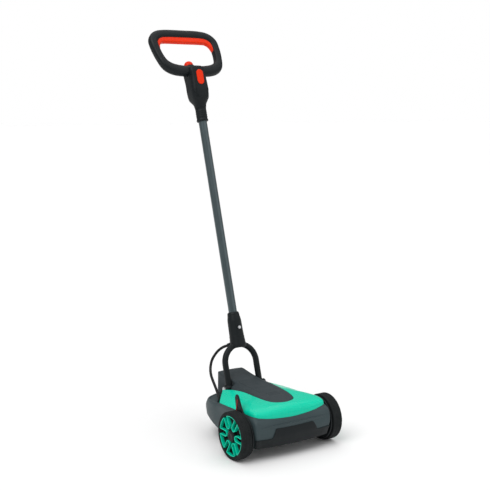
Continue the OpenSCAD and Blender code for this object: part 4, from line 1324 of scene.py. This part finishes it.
def build_lever():
    at = disc_place(-1)
    line = disc_profile(0.0)[2:]
    disc = lathe("disc", [(0.0041, 0.0)] + line, at, 128)
    outline = [(-0.014, 0.054), (0.020, 0.054), (0.0255, 0.075), (0.0294, 0.094), (0.0255, 0.1030)]
    outline += [(0.0195, 0.1042), (0.0138, 0.0998), (0.0020, 0.078)]
    arm = plate("arm", outline, 0.0002, DISC_T - 0.0002, at)
    arm = apply_modifiers(soften(arm, 0.0016, 4))
    low, high = DISC_T - 0.0010, DISC_T + 0.0036
    hub = lathe("hub", [(0.0041, low), (0.0060, low), (0.0060, high), (0.0041, high)], at, 48)
    lever = join("lever_arm", [disc, arm, hub])
    dress(lever, "black", "lever", "black_plastic", "height_lever")
    tilt = math.radians(10)
    mark_at = place(at(Vector((0.015, 0.090, DISC_T))), *mark_axes(tilt))
    mark = plate("lever_mark", [(x, y - 0.014) for x, y in stadium(0.0025, 0.033)], -0.0008, 0.0009, mark_at)
    dress(soften(mark, 0.0004, 2), "red", "lever", "red_plastic", "lever_insert")


def mark_axes(tilt):
    y, z = Vector((0, 1, 0)), Vector((0, 0, 1))
    return y * math.cos(tilt) + z * math.sin(tilt), z * math.cos(tilt) - y * math.sin(tilt), -ACROSS


# ---------------------------------------------------------------- rear wheels and battery
def build_rollers():
    for side in (-1, 1):
        name = f"roller_{hand(side)}"
        centre = Vector(joints[name + "_spin"]["pos_m"])
        z = ACROSS * side
        at = place(centre - z * 0.007, Vector((0, 1, 0)), Vector((0, 0, 1)), z)
        r = 0.020
        rim = [(0.00308, 0), (r - 0.002, 0), (r - 0.0006, 0.0008), (r, 0.0026), (r, 0.0060), (r - 0.0007, 0.0066)]
        rim += [(r - 0.0007, 0.0074), (r, 0.0080), (r, 0.0114), (r - 0.0006, 0.0132), (r - 0.002, 0.014)]
        rim += [(r - 0.005, 0.014), (r - 0.006, 0.012), (0.008, 0.012), (0.007, 0.014), (0.00308, 0.014)]
        wheel = lathe(name + "_tread", rim, at, 96)
        dress(wheel, "tyre", name, "black_plastic", f"rear_wheel_{hand(side)}")


def build_battery():
    low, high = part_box("battery_case")
    size = high - low
    centre = (low + high) / 2
    shell = box_solid(centre, size - Vector((0.0004, 0.0004, 0.0004)))
    y_end = high.y
    tools = [box_solid((0, y_end - 0.003, low.z + 0.0365), (0.024, 0.010, 0.011))]
    for side in (-1, 1):
        for k in range(4):
            groove = (side * (size.x / 2), y_end - 0.012 - 0.006 * k, centre.z)
            tools.append(box_solid(groove, (0.0024, 0.0028, 0.026)))
    shell = cut(shell, *tools)
    shell.name = "battery_body"
    dress(soften(shell, 0.0016, 3), "grey", "battery", "grey_plastic", "battery_case")
    low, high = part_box("battery_latch")
    latch = box_solid((low + high) / 2, (high - low) - Vector((0.0002, 0.0002, 0.0002)))
    latch.name = "latch_pad"
    dress(soften(latch, 0.0012, 4), "orange", "latch", "orange_plastic", "battery_latch")


# ---------------------------------------------------------------- CAD nodes that keep their own shape
CAD_FINISH = {
    "black": "battery_dock pivot_bracket_left pivot_bracket_right deck_gland axle_guides rear_carrier axle_blocks"
    " blade_carrier trigger_switch cable_relief",
    "steel": "motor_screws shaft_bearing pivot_pins rear_axle front_axle bush_left bush_right"
    " motor_shaft blade_bolt fork_screw",
    "can": "motor",
    "blade": "blade",
    "board": "controller_board",
    "cell": "battery_cells",
    "cable": "inner_lead",
}


def paint_cad():
    for finish, names in CAD_FINISH.items():
        for name in names.split():
            paint(frame["nodes"][name], FINISH[finish])


add_camera()
add_stage()
build_cable()
build_deck()
build_bumper()
build_cover()
build_lid()
build_lid_details()
build_fork()
build_tube()
build_collar()
build_stem()
build_grip()
build_grip_screws()
build_trigger()
build_buttons()
build_springs()
for wheel_side in (-1, 1):
    build_tyre(wheel_side)
    build_rim(wheel_side)
    build_trim(wheel_side)
    build_hub(wheel_side)
build_arch_disc()
build_lever()
build_rollers()
build_battery()
paint_cad()
